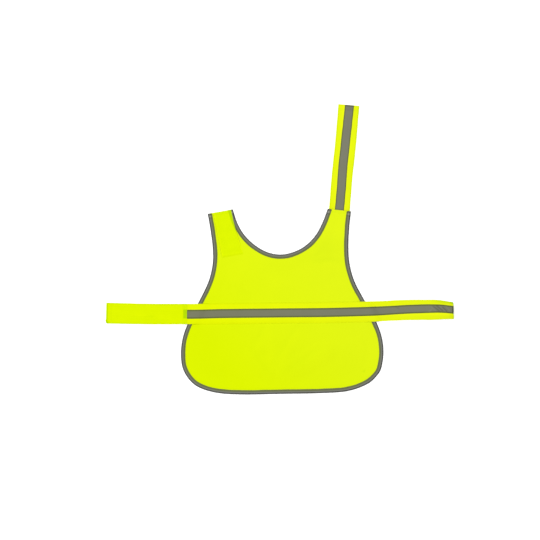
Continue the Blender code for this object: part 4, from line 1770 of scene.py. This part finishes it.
@dataclass
class NeckStrap(TapedStrap):
    """The neck strap with its reflective tape and hook patch, measured from its free end."""

    step: tuple[float, float] = (2.2, 1.6)
    spread: float = 1.036
    shift: float = 0.08
    tape_spread: float = 0.973
    tape_end: float = 212.0
    sewn_to: float = 205.0
    hook_length: float = 118.0
    edge_wave: Wave = Wave(0.12, 33.0, 0.6)
    tape_wave: Wave = Wave(0.05, 10.0, 1.2)
    hem_row: float = 9.5
    row_dip: float = 0.12
    # Painted shade along the tape's edges
    tape_edge_shade: Step = Step(-0.65, 6.4, 7.6)
    tape_yellow: Step = Step(0.19, 6.4, 7.6)
    tape_hem: Step = Step(-0.06, 12.5, 8.0)
    tape_fold_shade: Step = Step(-0.4, 3.2, 1.8)
    # Painted shadow of the panel's edge across the tape's top end
    tape_top: Step = Step(-0.25, -4.4, -2.0)
    darkest: float = -0.75
    strap_edge_shade: Step = Step(-0.10, 17.2, 18.8)
    hem_shade: Spot = Spot(-0.05, 9.5, 1.4)
    fold_shade: Step = Step(-0.2, 2.6, 1.0)
    hook_corner: tuple[Step, Step] = (Step(0.9, 12.0, 20.25), Step(1.0, -9.0, 0.0))
    end_roll: tuple[float, float] = (0.45, 2.4)
    seat: float = 0.03

    def middle(self, distance: Array, across: Array) -> Array:
        """The x, y and z halfway through the strap's wall.

        Args:
            distance: Distances from the free end.
            across: Places across the strap.

        Returns:
            The x, y and z of each place.
        """
        layers = self.vest.layers
        flat = self.vest.strap.at(distance) - self.vest.strap.left(distance) * across[:, None]
        hook = layers.layer * ramp(distance - self.hook_length, layers.strap_settle, self.hook_margin)
        return np.column_stack([flat, hook + layers.wall / 2])

    def lay_strap(self, distance: Array, across: Array) -> Array:
        """Lays the strap itself.

        Args:
            distance: Distances from the free end.
            across: Places across the strap.

        Returns:
            The x, y and z of each place.
        """
        shifted = across * self.spread - self.shift + self.edge_shift(distance, across)
        places = self.middle(distance, shifted)
        rows = np.maximum(bump(np.abs(across), self.edge_row, self.row_width), bump(distance, self.hem_row, ROW_WIDTH))
        places[:, 2] -= self.row_dip * rows + roll(distance, *self.end_roll) + self.seat
        return places

    def lay_tape(self, distance: Array, across: Array) -> Array:
        """Lays the reflective tape on the strap.

        Args:
            distance: Distances from the free end.
            across: Places across the strap.

        Returns:
            The x, y and z of each place.
        """
        places = self.lay_strap(distance, across * self.tape_spread - np.interp(distance, *STRAP_TAPE_SHIFT))
        places[:, 2] += self.tape_lift(distance, across)
        return places

    def tape_tone(self, distance: Array, across: Array) -> Array:
        """How much darker the tape is: painted shade at its edges and folded free end, a painted shadow of the panel at
        its top end, and darker over its hem.
        """
        ends = self.tape_hem.at(distance) + self.tape_fold_shade.at(distance) + self.tape_top.at(distance - self.tape_end)
        return np.maximum(self.tape_edge_shade.at(np.abs(across)) + ends, self.darkest)

    def strap_tone(self, distance: Array, across: Array) -> Array:
        """How much darker the strap is: painted shade at its edges, in its hem and at its folded end, and painted light
        beside the tape.
        """
        # Painted shade at the edges and painted light beside the tape
        rim = self.strap_edge_shade.at(np.abs(across)) + self.beside_tape_light.at(np.abs(across))
        return rim + self.hem_shade.at(distance) + self.fold_shade.at(distance)

    def lay_hook(self, distance: Array, across: Array) -> Array:
        """Lays the hook patch under the strap's free end, where its corner stands out a little.

        Args:
            distance: Distances from the free end.
            across: Places across the strap.

        Returns:
            The x, y and z of each place.
        """
        corner = product(self.hook_corner, across, distance - self.hook_length)
        places = self.middle(distance, across + corner)
        places[:, 2] -= self.hook_drop
        return places

    def build(self, wardrobe: Wardrobe, stitches: StitchRows, grey: StitchRows) -> None:
        """Makes the strap and its tapes, and sews them.

        Args:
            wardrobe: The materials.
            stitches: The yellow rows that the strap adds to.
            grey: The grey rows that its tape adds to.
        """
        width, film = (-self.half, self.half), (-self.film, self.film)
        length, tape_span, hook_span = self.vest.strap.length, (0.2, self.tape_end), (1.0, self.hook_length)
        strap = ClothSheet(
            "neck_strap_cloth", Slot.WEBBING, (0.0, length), width, self.step, self.thickness, self.soft_edge
        )
        tape = ClothSheet(
            "strap_reflective_tape", Slot.REFLECTIVE, tape_span, film, (1.8, 1.2), self.tape_thickness, self.tape_edge
        )
        hook = ClothSheet(
            "strap_hook_tape", Slot.HOOK, hook_span, width, self.step, self.hook_thickness, self.hook_edge
        )
        tape_paint = {"tone": self.tape_tone, "show_through": self.tape_shows}
        strap.dress("neck_strap", "floor", self.lay_strap, wardrobe, {"tone": self.strap_tone})
        tape.dress("strap_tape", strap.name, self.lay_tape, wardrobe, tape_paint)
        hook.dress("strap_hook_patch", "floor", self.lay_hook, wardrobe, {})
        top, tape_top = self.thickness / 2, self.tape_thickness / 2
        hem = row_across(self.lay_strap, self.hem_row, top)
        for side in (-1.0, 1.0):
            stitches.row(row_along(self.lay_strap, self.edge_row * side, top), 2.0, self.sewn_to)
            grey.row(row_along(self.lay_tape, self.tape_row * side, tape_top), 3.0, self.sewn_to)
            stitches.row(hem, 10.5 * side, self.edge_row * side)
        grey.row(row_across(self.lay_tape, self.hem_row, tape_top), -8.0, 8.0)


@dataclass
class ShoulderPatch:
    """The loop patch on the left shoulder, which laps over the neck binding."""

    vest: LaidVest
    step: float = 1.0
    thickness: float = 0.7
    length: float = 91.0
    width: float = 40.5
    area: float = 0.0034
    soft_edge: float = 0.3
    clearance: float = 0.25
    pile: tuple[Wave, Wave] = (Wave(0.06, 3.0, 0.3), Wave(1.0, 2.7, 1.4))
    streaks: tuple[Wave, Wave] = (Wave(0.012, 3.4, 0.5), Wave(0.01, 23.0, 1.2))
    row_in: float = 2.0
    shoulder_row: float = 4.6
    row_dip: float = 0.04
    rim_drop: Step = Step(0.95, 4.0, -0.5)
    fold_roll: tuple[float, float] = (1.1, 2.6)
    fold_shade: Spot = Spot(-0.11, 0.0, 2.2)
    row_shade: Spot = Spot(-0.03, 4.6, 1.1)
    low_light: Spot = Spot(0.02, -5.0, 1.4)
    end_light: Step = Step(0.03, -3.0, -1.0)
    side_light: Step = Step(0.11, -3.0, -1.0)
    side_fade: Step = Step(1.0, -2.0, -6.0)
    grey_show: Step = Step(0.85, 10.4, 9.3)

    def lay(self, down: Array, across: Array) -> Array:
        """Lays the patch.

        Args:
            down: Places from 0 at the shoulder to the patch's length.
            across: Places from minus to plus half its width.

        Returns:
            The x, y and z of each place.
        """
        table = np.array(SHOULDER_PATCH)
        rows = np.clip(down / self.length, 0.0, 1.0) * (len(table) - 1)
        edges = np.column_stack([np.interp(rows, np.arange(len(table)), column) for column in table.T])
        left, right = edges[:, :2], edges[:, 2:]
        flat = left + (right - left) * (across / self.width + 0.5)[:, None]
        pile = product(self.pile, down + 0.6 * across, across - 0.3 * down)
        rim = np.minimum.reduce([across + self.width / 2, self.width / 2 - across, self.length - down])
        dips = self.row_dip * (bump(rim, self.row_in, ROW_WIDTH) + bump(down, self.shoulder_row, ROW_WIDTH))
        high = self.vest.over_vest(flat) + self.clearance + pile - dips - roll(down, *self.fold_roll)
        return np.column_stack([flat, high - self.rim_drop.at(rim)])

    def tone(self, down: Array, across: Array) -> Array:
        """How much lighter the patch is: painted light at its sewn edges, and painted shade at its fold and its
        shoulder row.

        Args:
            down: Places down the patch.
            across: Places across it.

        Returns:
            What is added to the tone at each place.
        """
        streaks = self.streaks[0].at(across) + self.streaks[1].at(down)
        past_end, past_side = down - self.length, np.abs(across) - self.width / 2
        end = self.low_light.at(past_end) + self.end_light.at(past_end)
        sides = self.side_light.at(past_side) * self.side_fade.at(past_end)
        return streaks + end + sides + self.fold_shade.at(down) + self.row_shade.at(down)

    def shows(self, down: Array, across: Array) -> Array:
        """Where the grey binding shows through the patch's flat selvedge."""
        return self.grey_show.at(self.vest.neck_depth(self.lay(down, across)[:, :2]))

    def build(self, wardrobe: Wardrobe, stitches: StitchRows) -> None:
        """Makes the patch and sews it on.

        Args:
            wardrobe: The materials.
            stitches: The yellow rows that the patch adds to.
        """
        half, top, step = self.width / 2, self.thickness / 2, (self.step, self.step)
        sheet = ClothSheet(
            "shoulder_loop_tape", Slot.LOOP, (0.0, self.length), (-half, half), step, self.thickness, self.soft_edge
        )
        paint = {"tone": self.tone, "show_through": self.shows}
        sheet.dress("shoulder_loop_patch", "back_panel_cloth", self.lay, wardrobe, paint, area=self.area)
        inner = half - self.row_in
        for side in (-1.0, 1.0):
            stitches.row(row_along(self.lay, inner * side, top), 5.0, self.length - 2.5)
        for down in (self.shoulder_row, self.length - self.row_in):
            stitches.row(row_across(self.lay, down, top), -inner, inner)


@dataclass
class Studio:
    """The pale floor, the soft light and the camera straight above."""

    floor_size: float = 6.0
    world_strength: float = 1.02
    lamp_power: float = 40.0
    lamp_size: float = 1.8
    lamp_place: tuple[float, float, float] = (-0.4, 0.35, 2.35)
    lamp_aim: tuple[float, float, float] = (0.0, -0.03, 0.0)
    floor_colour: tuple[float, float, float, float] = (0.95, 0.95, 0.95, 1.0)
    lens: float = 120.0
    sensor: float = 36.0
    view_width: float = 1.08
    centre: tuple[float, float] = (-0.0193, -0.0415)

    def build(self) -> None:
        """Sets the studio up."""
        self.floor()
        self.light()
        self.camera()
        view = bpy.context.scene.view_settings
        view.view_transform = "Standard"
        view.look = "None"

    def floor(self) -> None:
        """Lays the pale floor."""
        mesh = bmesh.new()
        bmesh.ops.create_grid(mesh, x_segments=1, y_segments=1, size=self.floor_size / 2)
        paper = bpy.data.materials.new("pale paper")
        paper.use_nodes = True
        shader = paper.node_tree.nodes["Principled BSDF"]
        shader.inputs["Base Color"].default_value = self.floor_colour
        shader.inputs["Roughness"].default_value = 0.9
        shader.inputs["Specular IOR Level"].default_value = 0.1
        add_mesh("floor", mesh, paper)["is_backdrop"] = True

    def light(self) -> None:
        """Hangs a large soft lamp and lights the surroundings evenly."""
        world = bpy.data.worlds.new("soft studio")
        world.use_nodes = True
        back = world.node_tree.nodes["Background"]
        back.inputs["Color"].default_value = (1.0, 1.0, 1.0, 1.0)
        back.inputs["Strength"].default_value = self.world_strength
        bpy.context.scene.world = world
        lamp = bpy.data.lights.new("soft lamp", "AREA")
        lamp.shape = "DISK"
        lamp.size = self.lamp_size
        lamp.energy = self.lamp_power
        holder = bpy.data.objects.new("soft lamp", lamp)
        holder.location = self.lamp_place
        holder.rotation_euler = (Vector(self.lamp_aim) - holder.location).to_track_quat("-Z", "Y").to_euler()
        bpy.context.scene.collection.objects.link(holder)

    def camera(self) -> None:
        """Looks straight down at the middle of the photograph's frame."""
        lens = bpy.data.cameras.new("camera")
        lens.lens = self.lens
        lens.sensor_width = self.sensor
        holder = bpy.data.objects.new("camera", lens)
        holder.location = (*self.centre, self.view_width * self.lens / self.sensor)
        bpy.context.scene.collection.objects.link(holder)
        bpy.context.scene.camera = holder


def write_sizes() -> None:
    """Measures the solids' box and the dressed vest's box."""
    boxes = {"cad": CAD_BOUNDS, "visual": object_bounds()}
    plain = {name: [[float(value) for value in corner] for corner in box] for name, box in boxes.items()}


def main() -> None:
    """Builds and dresses the vest, piece by piece."""
    logging.basicConfig(level=logging.INFO, format="%(name)s: %(message)s")
    Studio().build()
    wardrobe = Wardrobe()
    vest = LaidVest(Layers())
    yellow = StitchRows("yellow_stitching", Slot.WEBBING)
    grey = StitchRows("grey_stitching", Slot.BINDING, pitch=3.0)
    panel = BackPanel(vest)
    panel.build(wardrobe)
    Binding(vest, panel, "neck_binding_cloth", "neck_binding", True, 0.42).build(wardrobe, grey)
    Binding(vest, panel, "edge_binding_cloth", "edge_binding", False, 0.58).build(wardrobe, grey)
    BellyBelt(vest).build(wardrobe, yellow, grey)
    NeckStrap(vest).build(wardrobe, yellow, grey)
    ShoulderPatch(vest).build(wardrobe, yellow)
    yellow.build(wardrobe)
    grey.build(wardrobe)
    write_sizes()


if __name__ == "__main__":
    main()
